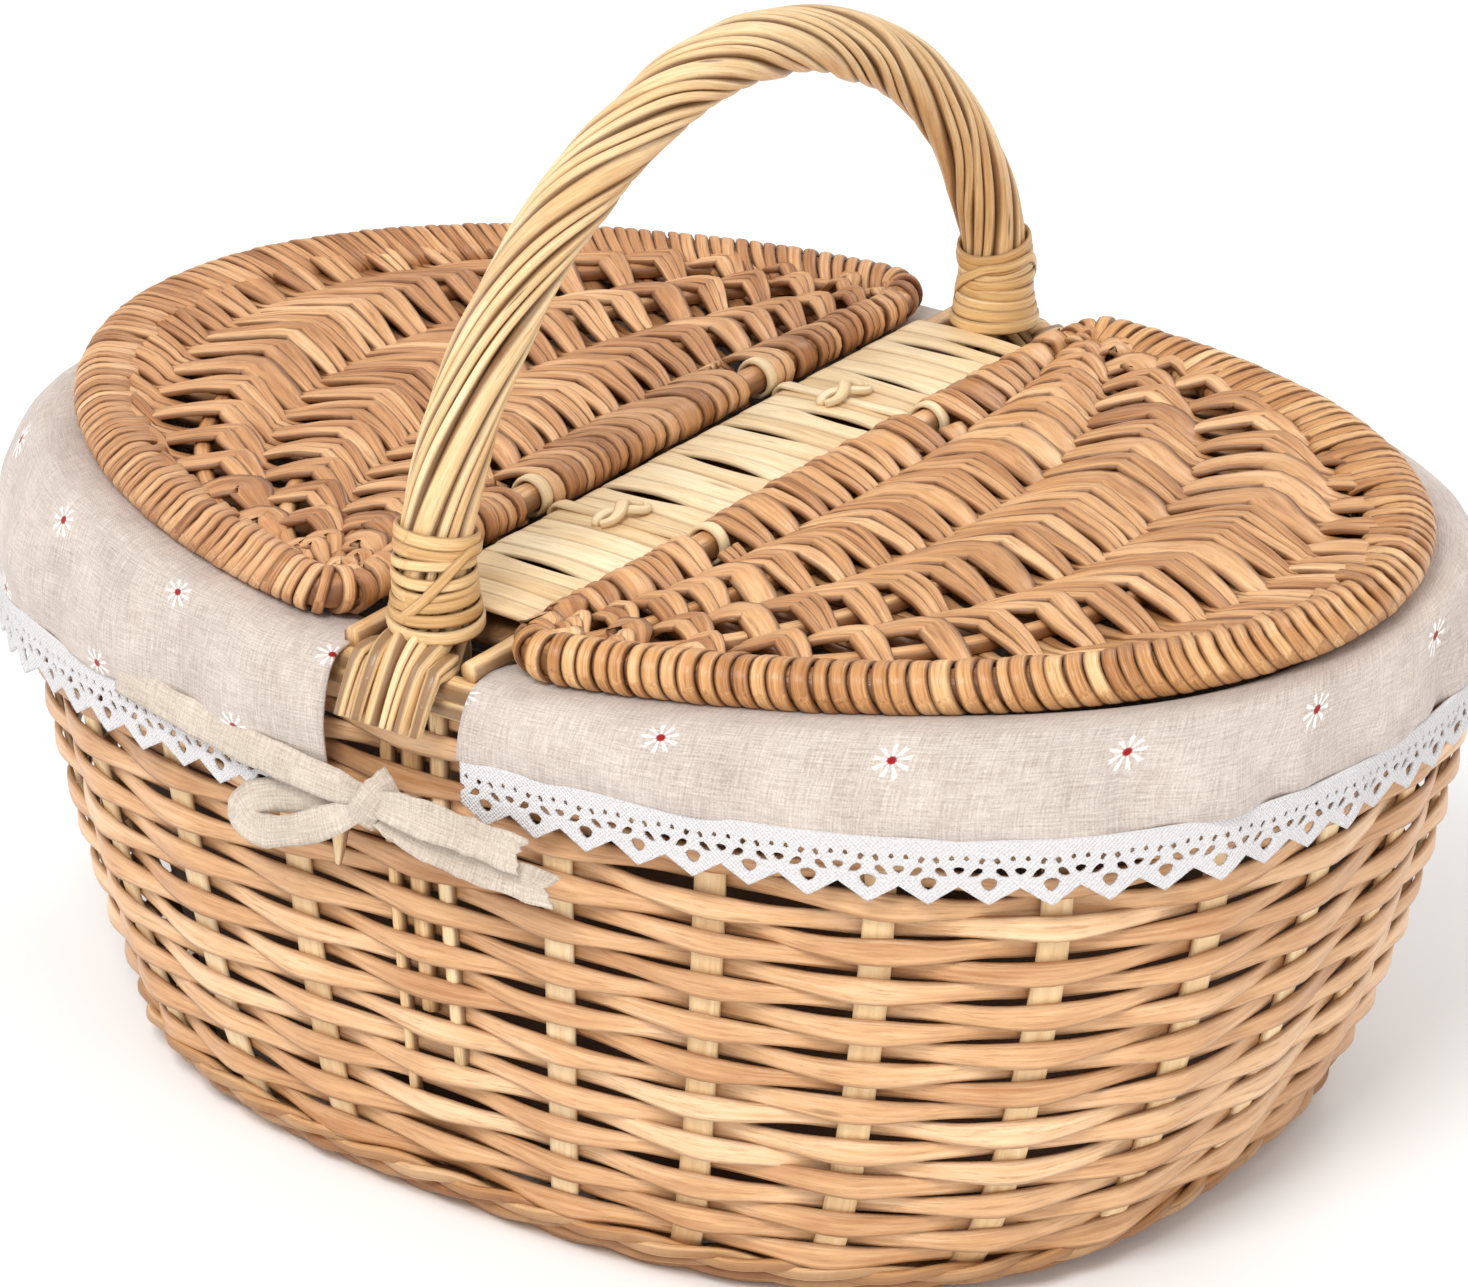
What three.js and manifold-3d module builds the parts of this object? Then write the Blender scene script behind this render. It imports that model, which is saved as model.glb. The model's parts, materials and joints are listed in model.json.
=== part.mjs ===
// A wicker picnic basket: an oval willow body with a fixed over-handle, a wrapped bar
// between the handle feet, two hinged half-oval lids and a cloth liner edged with lace.
// Units are millimetres. +Z is up, X runs along the length, Y runs along the bar, and
// the origin is on the floor under the middle of the basket.

import * as THREE from "three";
import { mergeVertices } from "three/addons/utils/BufferGeometryUtils.js";
import Module from "manifold-3d";

// Clearance left between pieces that touch.
const GAP = 0.3;

// Body: a wall that flares from the foot to the rim. Its ovals are squarer than ellipses,
// which have the power 2. Near the rim they grow rounder.
const OVAL_POWER = 2.7;
const RIM_OVAL_POWER = 2.35;
const ROUNDER_FROM = 110;
const FOOT_A = 145;
const FOOT_B = 125;
const RIM_A = 202;
const RIM_B = 144;
const FLARE_HEIGHT = 128;
const FLARE_POWER = 0.42;
const WALL_THICKNESS = 8;
const WALL_BOTTOM = 13.2;
const WALL_TOP = 150;
const AROUND_STEPS = 56;

// Foot border and base.
const FOOT_TOP = WALL_BOTTOM - GAP;
const FOOT_INNER_A = 133;
const FOOT_INNER_B = 113;
const BASE_BOTTOM = 4;
const BASE_THICKNESS = 7;

// Stakes: flat strips standing in slots in the wall. The places on the Y axis are left
// to the handle's feet.
const STAKE_PLACES = 26;
const STAKE_WIDTH = 8.5;
const STAKE_THICKNESS = 2;
const STAKE_BOTTOM = 20;

// Rim border.
const RIM_BOTTOM = WALL_TOP + GAP;
const RIM_TOP = 161.3;
const RIM_WIDTH = 10;

// Handle: a hoop whose ends run down inside the wall, with rods twisted round it.
const HANDLE_HALF_WIDTH = 131;
const HANDLE_SPRING_Z = 179;
const HANDLE_RISE = 104;
const HANDLE_POWER = 1.86;
const CORE_RADIUS = 3.9;
const CORE_STEPS = 40;
const ROD_COUNT = 8;
const ROD_RADIUS = 2.2;
const ROD_RING_RADIUS = 6.85;
const ROD_STEPS = 44;
const ROD_TURNS = 2.25;
const TWIST_EASE = 0.06;
const FAN_SPREAD = 1.09;
const WRAP_BOTTOM_Z = 175;
const WRAP_LENGTH_SHARE = 0.075;
const WRAP_INNER_RADIUS = 9.8;
const WRAP_OUTER_RADIUS = 11;

// Bar between the handle feet.
const BAR_HALF_WIDTH = 21;
const BAR_HALF_LENGTH = 117.2;
const BAR_TOP = 169.2;
const BAR_WRAP_THICKNESS = 1.5;
const BOARD_THICKNESS = 6;
const PRONG_INNER_X = 16.5;
const PRONG_END_Y = 139;

// Lids: half ovals hinged on a rod beside the bar.
const LID_A = 197.7;
const LID_B = 141.7;
const LID_BORDER_RADIUS = 6.7;
const LID_EDGE_X = 25;
const LID_Z = 170;
const LID_TILT = (2 * Math.PI) / 180;
const LID_WEAVE_THICKNESS = 6;
const LID_WEAVE_GAP = 0.9;
const HINGE_X = 28.5;
const HINGE_ROD_RADIUS = 3.9;
const HINGE_ROD_HALF_LENGTH = 126;

// Hinge loops round the lid rods, and the ties that hold them to the bar.
const HINGE_Y = 52;
const LOOP_INNER_RADIUS = 4.3;
const LOOP_OUTER_RADIUS = 5.9;
const LOOP_WIDTH = 5;
const NOTCH_HALF_WIDTH = 4.2;
const NOTCH_DEPTH_X = 37;
const TIE_WIDTH = 6;
const TIE_THICKNESS = 0.9;

// Liner: a bag in the body, two skirts folded over the rim, and lace below them.
const BAG_BOTTOM = 13.5;
const BAG_TOP = 157;
const BAG_THICKNESS = 1.2;
const BAG_FLOOR_THICKNESS = 1.5;
const BAG_INSET_A = 12;
const BAG_FOOT_B = 112;
const BAG_RIM_B = 118;
const SKIRT_EDGE_X = 23;
const SKIRT_THICKNESS = 1;
const SKIRT_DROP_LEFT = 6;
const SKIRT_DROP_RIGHT = -7;
const SKIRT_REACH_LEFT = 8.5;
const SKIRT_REACH_RIGHT = 6;
const LACE_THICKNESS = 0.8;
const SKIRT_STEPS = 30;

// Ribbons tied at the handle feet.
const RIBBON_Y = 156;
const RIBBON_THICKNESS = 2;
const KNOT_Z = 127;

const COLORS = {
  wall: 0xd6a87c,
  stake: 0xe0b88a,
  foot: 0xcf9f72,
  handle: 0xdbbb91,
  bar: 0xe0c39d,
  lid: 0xcc9c72,
  liner: 0xe0d2c9,
  lace: 0xe6e0df,
  ribbon: 0xdfd0c1,
};

const wasm = await Module();
wasm.setup();

const basket = new THREE.Group();

function addPiece(name, geometry, color) {
  const material = new THREE.MeshStandardMaterial({ color, roughness: 0.75, metalness: 0 });
  const mesh = new THREE.Mesh(geometry, material);
  mesh.name = name;
  basket.add(mesh);
  return mesh;
}

// ---- Solids ----------------------------------------------------------------------

function signedVolume(positions, indices) {
  let total = 0;
  const a = new THREE.Vector3();
  const b = new THREE.Vector3();
  const c = new THREE.Vector3();
  for (let i = 0; i < indices.length; i += 3) {
    a.fromArray(positions, indices[i] * 3);
    b.fromArray(positions, indices[i + 1] * 3);
    c.fromArray(positions, indices[i + 2] * 3);
    total += a.dot(b.cross(c)) / 6;
  }
  return total;
}

function closedGeometry(positions, indices) {
  if (signedVolume(positions, indices) < 0) {
    indices.reverse();
  }
  const geometry = new THREE.BufferGeometry();
  geometry.setAttribute("position", new THREE.Float32BufferAttribute(positions, 3));
  geometry.setIndex(indices);
  geometry.computeVertexNormals();
  return geometry;
}

// Triangles that fill a flat loop of points, turning the same way as the loop.
function capTriangles(loop) {
  const origin = loop[0];
  const middle = loop[Math.floor(loop.length / 2)];
  const normal = new THREE.Vector3();
  loop.forEach((point, i) => {
    const next = loop[(i + 1) % loop.length];
    normal.add(point.clone().sub(origin).cross(next.clone().sub(origin)));
  });
  normal.normalize();
  const u = middle.clone().sub(origin).normalize();
  const v = normal.clone().cross(u);
  const flat = loop.map((point) => {
    const offset = point.clone().sub(origin);
    return new THREE.Vector2(offset.dot(u), offset.dot(v));
  });
  return THREE.ShapeUtils.triangulateShape(flat, []).map(([i, j, k]) => {
    const area = THREE.ShapeUtils.area([flat[i], flat[j], flat[k]]);
    return area > 0 ? [i, j, k] : [i, k, j];
  });
}

// Joins a row of section loops into one closed body. A path that comes back to its
// start has no ends; any other path is capped at both ends.
function sweptSolid(sections, pathIsClosed) {
  const count = sections[0].length;
  const positions = sections.flat().flatMap((point) => point.toArray());
  const indices = [];
  const steps = pathIsClosed ? sections.length : sections.length - 1;
  for (let i = 0; i < steps; i += 1) {
    const here = i * count;
    const next = ((i + 1) % sections.length) * count;
    for (let j = 0; j < count; j += 1) {
      const k = (j + 1) % count;
      indices.push(here + j, next + j, next + k);
      indices.push(here + j, next + k, here + k);
    }
  }
  if (!pathIsClosed) {
    const last = (sections.length - 1) * count;
    capTriangles(sections[0]).forEach(([i, j, k]) => indices.push(i, j, k));
    capTriangles(sections[sections.length - 1]).forEach(([i, j, k]) => {
      indices.push(last + i, last + k, last + j);
    });
  }
  return closedGeometry(positions, indices);
}

function toManifold(geometry) {
  const bare = geometry.clone();
  bare.deleteAttribute("normal");
  bare.deleteAttribute("uv");
  const merged = mergeVertices(bare, 1e-4);
  return new wasm.Manifold(
    new wasm.Mesh({
      numProp: 3,
      vertProperties: new Float32Array(merged.attributes.position.array),
      triVerts: new Uint32Array(merged.index.array),
    }),
  );
}

function fromManifold(solid) {
  const mesh = solid.getMesh();
  return closedGeometry(Array.from(mesh.vertProperties), Array.from(mesh.triVerts));
}

// A path that steps from sample to sample, so that neighbouring tubes bend together.
class SampledPath extends THREE.Curve {
  constructor(samples) {
    super();
    this.samples = samples;
  }

  getPoint(share) {
    const position = share * (this.samples.length - 1);
    const i = Math.min(Math.floor(position), this.samples.length - 2);
    return this.samples[i].clone().lerp(this.samples[i + 1], position - i);
  }

  getPointAt(share) {
    return this.getPoint(share);
  }

  getTangentAt(share) {
    const step = 1 / (this.samples.length - 1);
    const after = this.getPoint(Math.min(1, share + step));
    return after.sub(this.getPoint(Math.max(0, share - step))).normalize();
  }
}

function tube(samples, radius, sides) {
  const section = new THREE.Shape();
  for (let i = 0; i < sides; i += 1) {
    const angle = (i / sides) * 2 * Math.PI;
    const x = radius * Math.cos(angle);
    const y = radius * Math.sin(angle);
    if (i === 0) {
      section.moveTo(x, y);
    } else {
      section.lineTo(x, y);
    }
  }
  return new THREE.ExtrudeGeometry(section, {
    steps: samples.length - 1,
    bevelEnabled: false,
    extrudePath: new SampledPath(samples),
  });
}

// ---- Ovals -----------------------------------------------------------------------

function flare(z) {
  return Math.min(1, z / FLARE_HEIGHT) ** FLARE_POWER;
}

function ovalPower(z) {
  const share = Math.min(1, Math.max(0, (z - ROUNDER_FROM) / (RIM_TOP - ROUNDER_FROM)));
  return OVAL_POWER + (RIM_OVAL_POWER - OVAL_POWER) * share;
}

// Half axes of the body's outer surface at height z, moved out by an offset.
function bodyOval(z, offset) {
  return {
    a: FOOT_A + (RIM_A - FOOT_A) * flare(z) + offset,
    b: FOOT_B + (RIM_B - FOOT_B) * flare(z) + offset,
    z,
  };
}

function ovalPoint({ a, b, z }, angle) {
  const x = Math.cos(angle);
  const y = Math.sin(angle);
  const power = ovalPower(z);
  const reach = (Math.abs(x) ** power + Math.abs(y) ** power) ** (-1 / power);
  return new THREE.Vector3(a * x * reach, b * y * reach, z);
}

// Direction along an oval, from two points close to each other.
function ovalTangent(oval, angle) {
  const step = 0.001;
  const ahead = ovalPoint(oval, angle + step);
  return ahead.sub(ovalPoint(oval, angle - step)).normalize();
}

function ovalRing(profile) {
  const sections = [];
  for (let i = 0; i < AROUND_STEPS; i += 1) {
    const angle = (i / AROUND_STEPS) * 2 * Math.PI;
    sections.push(profile.map((point) => ovalPoint(point, angle)));
  }
  return sweptSolid(sections, true);
}

// Angles that divide an oval into equal lengths, the first of them on the +Y axis.
function evenAngles(count, oval) {
  const samples = 7200;
  const lengths = [0];
  let last = ovalPoint(oval, Math.PI / 2);
  for (let i = 1; i <= samples; i += 1) {
    const next = ovalPoint(oval, Math.PI / 2 + (i / samples) * 2 * Math.PI);
    lengths.push(lengths[i - 1] + next.distanceTo(last));
    last = next;
  }
  const angles = [];
  let sample = 0;
  for (let k = 0; k < count; k += 1) {
    const wanted = (lengths[samples] * k) / count;
    while (lengths[sample] < wanted) {
      sample += 1;
    }
    angles.push(Math.PI / 2 + (sample / samples) * 2 * Math.PI);
  }
  return angles;
}

function heights(from, to, count) {
  return Array.from({ length: count }, (_, i) => from + ((to - from) * i) / (count - 1));
}

// ---- Body ------------------------------------------------------------------------

function baseWeave() {
  const oval = { a: FOOT_INNER_A - GAP, b: FOOT_INNER_B - GAP, z: 0 };
  const edge = [];
  for (let i = 0; i < AROUND_STEPS; i += 1) {
    edge.push(ovalPoint(oval, (i / AROUND_STEPS) * 2 * Math.PI));
  }
  const geometry = new THREE.ExtrudeGeometry(new THREE.Shape(edge), {
    depth: BASE_THICKNESS,
    bevelEnabled: false,
  });
  return geometry.translate(0, 0, BASE_BOTTOM);
}

function footBorder() {
  const inner = (z) => ({ a: FOOT_INNER_A, b: FOOT_INNER_B, z });
  return ovalRing([
    inner(0),
    { a: FOOT_A, b: FOOT_B, z: 0 },
    bodyOval(3, 0),
    bodyOval(8, 1),
    bodyOval(FOOT_TOP, 0.5),
    inner(FOOT_TOP),
  ]);
}

function stakeSection(angle, z, width, thickness) {
  const oval = bodyOval(z, -WALL_THICKNESS / 2);
  const centre = ovalPoint(oval, angle);
  const along = ovalTangent(oval, angle);
  const out = new THREE.Vector3(along.y, -along.x, 0);
  const corners = [
    [-1, -1],
    [1, -1],
    [1, 1],
    [-1, 1],
  ];
  return corners.map(([side, face]) =>
    centre
      .clone()
      .addScaledVector(along, (side * width) / 2)
      .addScaledVector(out, (face * thickness) / 2),
  );
}

function stakeBar(angle, bottom, top, width, thickness) {
  const levels = heights(bottom, top, 5);
  return sweptSolid(levels.map((z) => stakeSection(angle, z, width, thickness)), false);
}

function wallWeave(stakeAngles) {
  const levels = heights(WALL_BOTTOM, WALL_TOP, 5);
  const outer = levels.map((z) => bodyOval(z, 0));
  const inner = levels.map((z) => bodyOval(z, -WALL_THICKNESS)).reverse();
  let wall = toManifold(ovalRing([...outer, ...inner]));
  stakeAngles.forEach((angle) => {
    const slot = stakeBar(
      angle,
      STAKE_BOTTOM,
      WALL_TOP + 1,
      STAKE_WIDTH + 2 * GAP,
      STAKE_THICKNESS + 2 * GAP,
    );
    wall = wall.subtract(toManifold(slot));
  });
  return fromManifold(wall);
}

function rimBorder() {
  const middle = (RIM_BOTTOM + RIM_TOP) / 2;
  const chamfer = 2.5;
  const oval = (offset, z) => ({ a: RIM_A + offset, b: RIM_B + offset, z });
  return ovalRing([
    oval(-RIM_WIDTH + chamfer, RIM_BOTTOM),
    oval(-chamfer, RIM_BOTTOM),
    oval(0, middle),
    oval(-chamfer, RIM_TOP),
    oval(-RIM_WIDTH + chamfer, RIM_TOP),
    oval(-RIM_WIDTH, middle),
  ]);
}

// ---- Handle ----------------------------------------------------------------------

// Centre line of the hoop, from the near end inside the wall to the far end.
function hoopLine() {
  const foot = [
    [125, 110],
    [127, 140],
    [129, 160],
    [130.5, 172],
  ];
  const arch = [];
  const archPoints = 20;
  for (let i = 1; i < archPoints; i += 1) {
    const angle = (i / archPoints) * Math.PI;
    const across = Math.abs(Math.cos(angle)) ** (2 / HANDLE_POWER);
    const up = Math.sin(angle) ** (2 / HANDLE_POWER);
    const y = -Math.sign(Math.cos(angle)) * HANDLE_HALF_WIDTH * across;
    arch.push(new THREE.Vector3(0, y, HANDLE_SPRING_Z + HANDLE_RISE * up));
  }
  const near = foot.map(([y, z]) => new THREE.Vector3(0, -y, z));
  const far = foot.map(([y, z]) => new THREE.Vector3(0, y, z)).reverse();
  const line = new THREE.CatmullRomCurve3([...near, ...arch, ...far]);
  line.arcLengthDivisions = 2000;
  return line;
}

// Share of the hoop's length at which its near side reaches a height.
function shareAtHeight(line, z) {
  let low = 0;
  let high = 0.4;
  for (let i = 0; i < 40; i += 1) {
    const middle = (low + high) / 2;
    if (line.getPointAt(middle).z < z) {
      low = middle;
    } else {
      high = middle;
    }
  }
  return low;
}

// A point beside the hoop: angle 0 is away from the arch's middle.
function besideHoop(line, share, radius, angle) {
  const across = new THREE.Vector3(1, 0, 0);
  const outward = across.clone().cross(line.getTangentAt(share));
  return line
    .getPointAt(share)
    .addScaledVector(outward, radius * Math.cos(angle))
    .addScaledVector(across, radius * Math.sin(angle));
}

function wrappedAngle(angle) {
  return Math.atan2(Math.sin(angle), Math.cos(angle));
}

// Below its wrap the ring of rods opens into a flat fan that bends out over the rim.
// The two innermost rods go straight down inside the rim instead.
function rodFoot(side, angle) {
  const a = wrappedAngle(angle);
  const points = [];
  if (Math.abs(a) > 0.75 * Math.PI) {
    const inner = [
      [130.2, 168],
      [128.2, 152],
      [127, 140],
    ];
    inner.forEach(([y, z]) => {
      const distance = y + ROD_RING_RADIUS * Math.cos(a);
      points.push(new THREE.Vector3(ROD_RING_RADIUS * Math.sin(a), side * distance, z));
    });
    return points;
  }
  const ridge = new THREE.QuadraticBezierCurve(
    new THREE.Vector2(HANDLE_HALF_WIDTH + ROD_RING_RADIUS, WRAP_BOTTOM_Z),
    new THREE.Vector2(RIM_B + 0.5, RIM_TOP + 8.5),
    new THREE.Vector2(RIM_B + 10, RIM_TOP - 12),
  );
  for (let step = 1; step <= 5; step += 1) {
    const share = step / 5;
    const opened = Math.min(0.999, share * 2);
    const bend = (ROD_RING_RADIUS * FAN_SPREAD) / (1 - opened);
    const reach = ridge.getPoint(share);
    const tangent = ridge.getTangent(share);
    const back = bend * (1 - Math.cos(a * (1 - opened)));
    const distance = reach.x + tangent.y * back;
    const z = reach.y - tangent.x * back;
    const x = bend * Math.sin(a * (1 - opened));
    points.push(new THREE.Vector3(x, side * distance, z));
  }
  return points;
}

// The rods turn more slowly near the wraps than over the crown.
function handleRod(line, index) {
  const bottom = shareAtHeight(line, WRAP_BOTTOM_Z);
  const start = ((index + 0.5) / ROD_COUNT) * 2 * Math.PI;
  const turn = ROD_TURNS * 2 * Math.PI;
  const spiral = [];
  for (let i = 0; i <= ROD_STEPS; i += 1) {
    const share = bottom + ((1 - 2 * bottom) * i) / ROD_STEPS;
    const eased = i / ROD_STEPS - TWIST_EASE * Math.sin((2 * Math.PI * i) / ROD_STEPS);
    const angle = start + turn * eased;
    spiral.push(besideHoop(line, share, ROD_RING_RADIUS, angle));
  }
  const nearFoot = rodFoot(-1, start).reverse();
  const farFoot = rodFoot(1, start + turn);
  return tube([...nearFoot, ...spiral, ...farFoot], ROD_RADIUS, 6);
}

function handleWrap(line, isFar) {
  const bottom = shareAtHeight(line, WRAP_BOTTOM_Z + 1);
  const shares = heights(bottom, bottom + WRAP_LENGTH_SHARE, 4);
  const placed = isFar ? shares.map((share) => 1 - share) : shares;
  const sections = [];
  const around = 14;
  for (let i = 0; i < around; i += 1) {
    const angle = (i / around) * 2 * Math.PI;
    const outer = placed.map((share) => besideHoop(line, share, WRAP_OUTER_RADIUS, angle));
    const inner = placed.map((share) => besideHoop(line, share, WRAP_INNER_RADIUS, angle));
    sections.push([...outer, ...inner.reverse()]);
  }
  return sweptSolid(sections, true);
}

function addHandle() {
  const line = hoopLine();
  addPiece("handle_core", tube(line.getSpacedPoints(CORE_STEPS), CORE_RADIUS, 8), COLORS.handle);
  for (let i = 0; i < ROD_COUNT; i += 1) {
    addPiece(`handle_rod_${i + 1}`, handleRod(line, i), COLORS.handle);
  }
  addPiece("handle_wrap_near", handleWrap(line, false), COLORS.bar);
  addPiece("handle_wrap_far", handleWrap(line, true), COLORS.bar);
}

// ---- Bar and hinges --------------------------------------------------------------

function polygon(points) {
  return new THREE.Shape(points.map(([x, y]) => new THREE.Vector2(x, y)));
}

function rectangle(left, bottom, right, top) {
  return polygon([
    [left, bottom],
    [right, bottom],
    [right, top],
    [left, top],
  ]);
}

// A shape drawn in X and Z, given a thickness along Y and centred on y.
function alongY(shape, y, thickness) {
  const geometry = new THREE.ExtrudeGeometry(shape, {
    depth: thickness,
    bevelEnabled: false,
    curveSegments: 8,
  });
  geometry.rotateX(Math.PI / 2);
  return geometry.translate(0, y + thickness / 2, 0);
}

// A board whose forked ends lie on the rim, one prong on each side of the handle.
function barBoard() {
  const half = BAR_HALF_WIDTH - BAR_WRAP_THICKNESS - GAP;
  const shoulder = BAR_HALF_LENGTH + GAP;
  const fork = shoulder + 2;
  const prong = BAR_HALF_WIDTH - 0.2;
  const quarter = [
    [half, shoulder],
    [prong, shoulder],
    [prong, PRONG_END_Y],
    [PRONG_INNER_X, PRONG_END_Y],
    [PRONG_INNER_X, fork],
  ];
  const mirrored = (sx, sy) => quarter.map(([x, y]) => [sx * x, sy * y]);
  const outline = [
    ...mirrored(1, 1),
    ...mirrored(-1, 1).reverse(),
    ...mirrored(-1, -1),
    ...mirrored(1, -1).reverse(),
  ];
  const geometry = new THREE.ExtrudeGeometry(polygon(outline), {
    depth: BOARD_THICKNESS,
    bevelEnabled: false,
  });
  return geometry.translate(0, 0, BAR_TOP - BAR_WRAP_THICKNESS - GAP - BOARD_THICKNESS);
}

function sleeve(halfWidth, bottom, top, thickness, y, length) {
  const shape = rectangle(-halfWidth, bottom, halfWidth, top);
  const inner = halfWidth - thickness;
  shape.holes.push(rectangle(-inner, bottom + thickness, inner, top - thickness));
  return alongY(shape, y, length);
}

function barWrap() {
  const bottom = BAR_TOP - 2 * (BAR_WRAP_THICKNESS + GAP) - BOARD_THICKNESS;
  return sleeve(BAR_HALF_WIDTH, bottom, BAR_TOP, BAR_WRAP_THICKNESS, 0, 2 * BAR_HALF_LENGTH);
}

function hingeTie(y) {
  const bottom = BAR_TOP - 2 * (BAR_WRAP_THICKNESS + GAP) - BOARD_THICKNESS;
  const grow = GAP + TIE_THICKNESS;
  return sleeve(
    BAR_HALF_WIDTH + grow,
    bottom - grow,
    BAR_TOP + grow,
    TIE_THICKNESS,
    y,
    TIE_WIDTH,
  );
}

function hingeLoop(side, y) {
  const shape = new THREE.Shape();
  shape.absarc(side * HINGE_X, LID_Z, LOOP_OUTER_RADIUS, 0, 2 * Math.PI, false);
  const hole = new THREE.Path();
  hole.absarc(side * HINGE_X, LID_Z, LOOP_INNER_RADIUS, 0, 2 * Math.PI, true);
  shape.holes.push(hole);
  return alongY(shape, y, LOOP_WIDTH);
}

function addBar() {
  addPiece("bar_board", barBoard(), COLORS.stake);
  addPiece("bar_wrap", barWrap(), COLORS.bar);
  const ends = { near: -HINGE_Y, far: HINGE_Y };
  Object.entries(ends).forEach(([end, y]) => {
    addPiece(`hinge_tie_${end}`, hingeTie(y), COLORS.bar);
    addPiece(`hinge_loop_left_${end}`, hingeLoop(-1, y), COLORS.handle);
    addPiece(`hinge_loop_right_${end}`, hingeLoop(1, y), COLORS.handle);
  });
}

// ---- Lids ------------------------------------------------------------------------

function lidBorder(side) {
  const a = LID_A - LID_BORDER_RADIUS;
  const b = LID_B - LID_BORDER_RADIUS;
  const end = Math.acos(LID_EDGE_X / a);
  const points = heights(-end, end, 31).map(
    (angle) => new THREE.Vector3(side * a * Math.cos(angle), b * Math.sin(angle), LID_Z),
  );
  return tube(points, LID_BORDER_RADIUS, 8);
}

function hingeRod(side) {
  const length = 2 * HINGE_ROD_HALF_LENGTH;
  const geometry = new THREE.CylinderGeometry(HINGE_ROD_RADIUS, HINGE_ROD_RADIUS, length, 12);
  return geometry.translate(side * HINGE_X, 0, LID_Z);
}

// A half-oval plate with a notch in its straight edge for each hinge loop.
function lidWeave(side) {
  const inset = 2 * LID_BORDER_RADIUS + LID_WEAVE_GAP;
  const a = LID_A - inset;
  const b = LID_B - inset;
  const edge = HINGE_X + HINGE_ROD_RADIUS + GAP;
  const end = Math.acos(edge / a);
  const arc = heights(-end, end, 40).map((angle) => [a * Math.cos(angle), b * Math.sin(angle)]);
  const notch = (y) => [
    [edge, y + NOTCH_HALF_WIDTH],
    [NOTCH_DEPTH_X, y + NOTCH_HALF_WIDTH],
    [NOTCH_DEPTH_X, y - NOTCH_HALF_WIDTH],
    [edge, y - NOTCH_HALF_WIDTH],
  ];
  const outline = [...arc, ...notch(HINGE_Y), ...notch(-HINGE_Y)];
  const shape = polygon(outline.map(([x, y]) => [side * x, y]));
  const geometry = new THREE.ExtrudeGeometry(shape, {
    depth: LID_WEAVE_THICKNESS,
    bevelEnabled: false,
  });
  return geometry.translate(0, 0, LID_Z - LID_WEAVE_THICKNESS / 2);
}

// The lids rest on the folded cloth, so their outer ends stand a little higher.
function tilted(geometry, side) {
  geometry.translate(-side * HINGE_X, 0, -LID_Z);
  geometry.rotateY(-side * LID_TILT);
  return geometry.translate(side * HINGE_X, 0, LID_Z);
}

function addLid(name, side) {
  addPiece(`${name}_border`, tilted(lidBorder(side), side), COLORS.lid);
  addPiece(`${name}_hinge_rod`, tilted(hingeRod(side), side), COLORS.lid);
  addPiece(`${name}_weave`, tilted(lidWeave(side), side), COLORS.lid);
}

// ---- Liner -----------------------------------------------------------------------

function bagOval(z, inset) {
  const wall = bodyOval(z, 0);
  const b = BAG_FOOT_B + ((BAG_RIM_B - BAG_FOOT_B) * z) / BAG_TOP;
  return { a: wall.a - BAG_INSET_A - inset, b: b - inset, z };
}

function linerBag() {
  const levels = heights(BAG_BOTTOM, BAG_TOP, 4);
  const floor = BAG_BOTTOM + BAG_FLOOR_THICKNESS;
  const innerLevels = [floor, ...levels.slice(1)].reverse();
  const axisBottom = { a: 0, b: 0, z: BAG_BOTTOM };
  const axisFloor = { a: 0, b: 0, z: floor };
  const outer = levels.map((z) => bagOval(z, 0));
  const inner = innerLevels.map((z) => bagOval(z, BAG_THICKNESS));
  const solid = ovalRing([axisBottom, ...outer, ...inner, axisFloor]);
  return fromManifold(toManifold(withoutFlatTriangles(solid)));
}

// Drops the triangles that closed up where a profile reaches the axis.
function withoutFlatTriangles(geometry) {
  const bare = geometry.clone();
  bare.deleteAttribute("normal");
  const merged = mergeVertices(bare, 1e-4);
  const source = merged.index.array;
  const kept = [];
  for (let i = 0; i < source.length; i += 3) {
    const corners = new Set([source[i], source[i + 1], source[i + 2]]);
    if (corners.size === 3) {
      kept.push(...corners);
    }
  }
  merged.setIndex(kept);
  return merged;
}

// A thin band whose middle follows a line of ovals, swept round one end of the body.
function clothBand(line, thickness, side) {
  const outer = [];
  const inner = [];
  line.forEach((point, i) => {
    const before = line[Math.max(0, i - 1)];
    const after = line[Math.min(line.length - 1, i + 1)];
    const run = Math.hypot(after.a - before.a, after.z - before.z);
    const across = ((after.z - before.z) / run) * (thickness / 2);
    const up = ((after.a - before.a) / run) * (thickness / 2);
    outer.push({ a: point.a - across, b: point.b - across, z: point.z + up });
    inner.push({ a: point.a + across, b: point.b + across, z: point.z - up });
  });
  const profile = [...outer, ...inner.reverse()];
  const end = Math.acos(SKIRT_EDGE_X / RIM_A);
  const sections = heights(-end, end, SKIRT_STEPS + 1).map((angle) =>
    profile.map((point) => {
      const placed = ovalPoint(point, angle);
      placed.x *= side;
      return placed;
    }),
  );
  return sweptSolid(sections, false);
}

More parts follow.
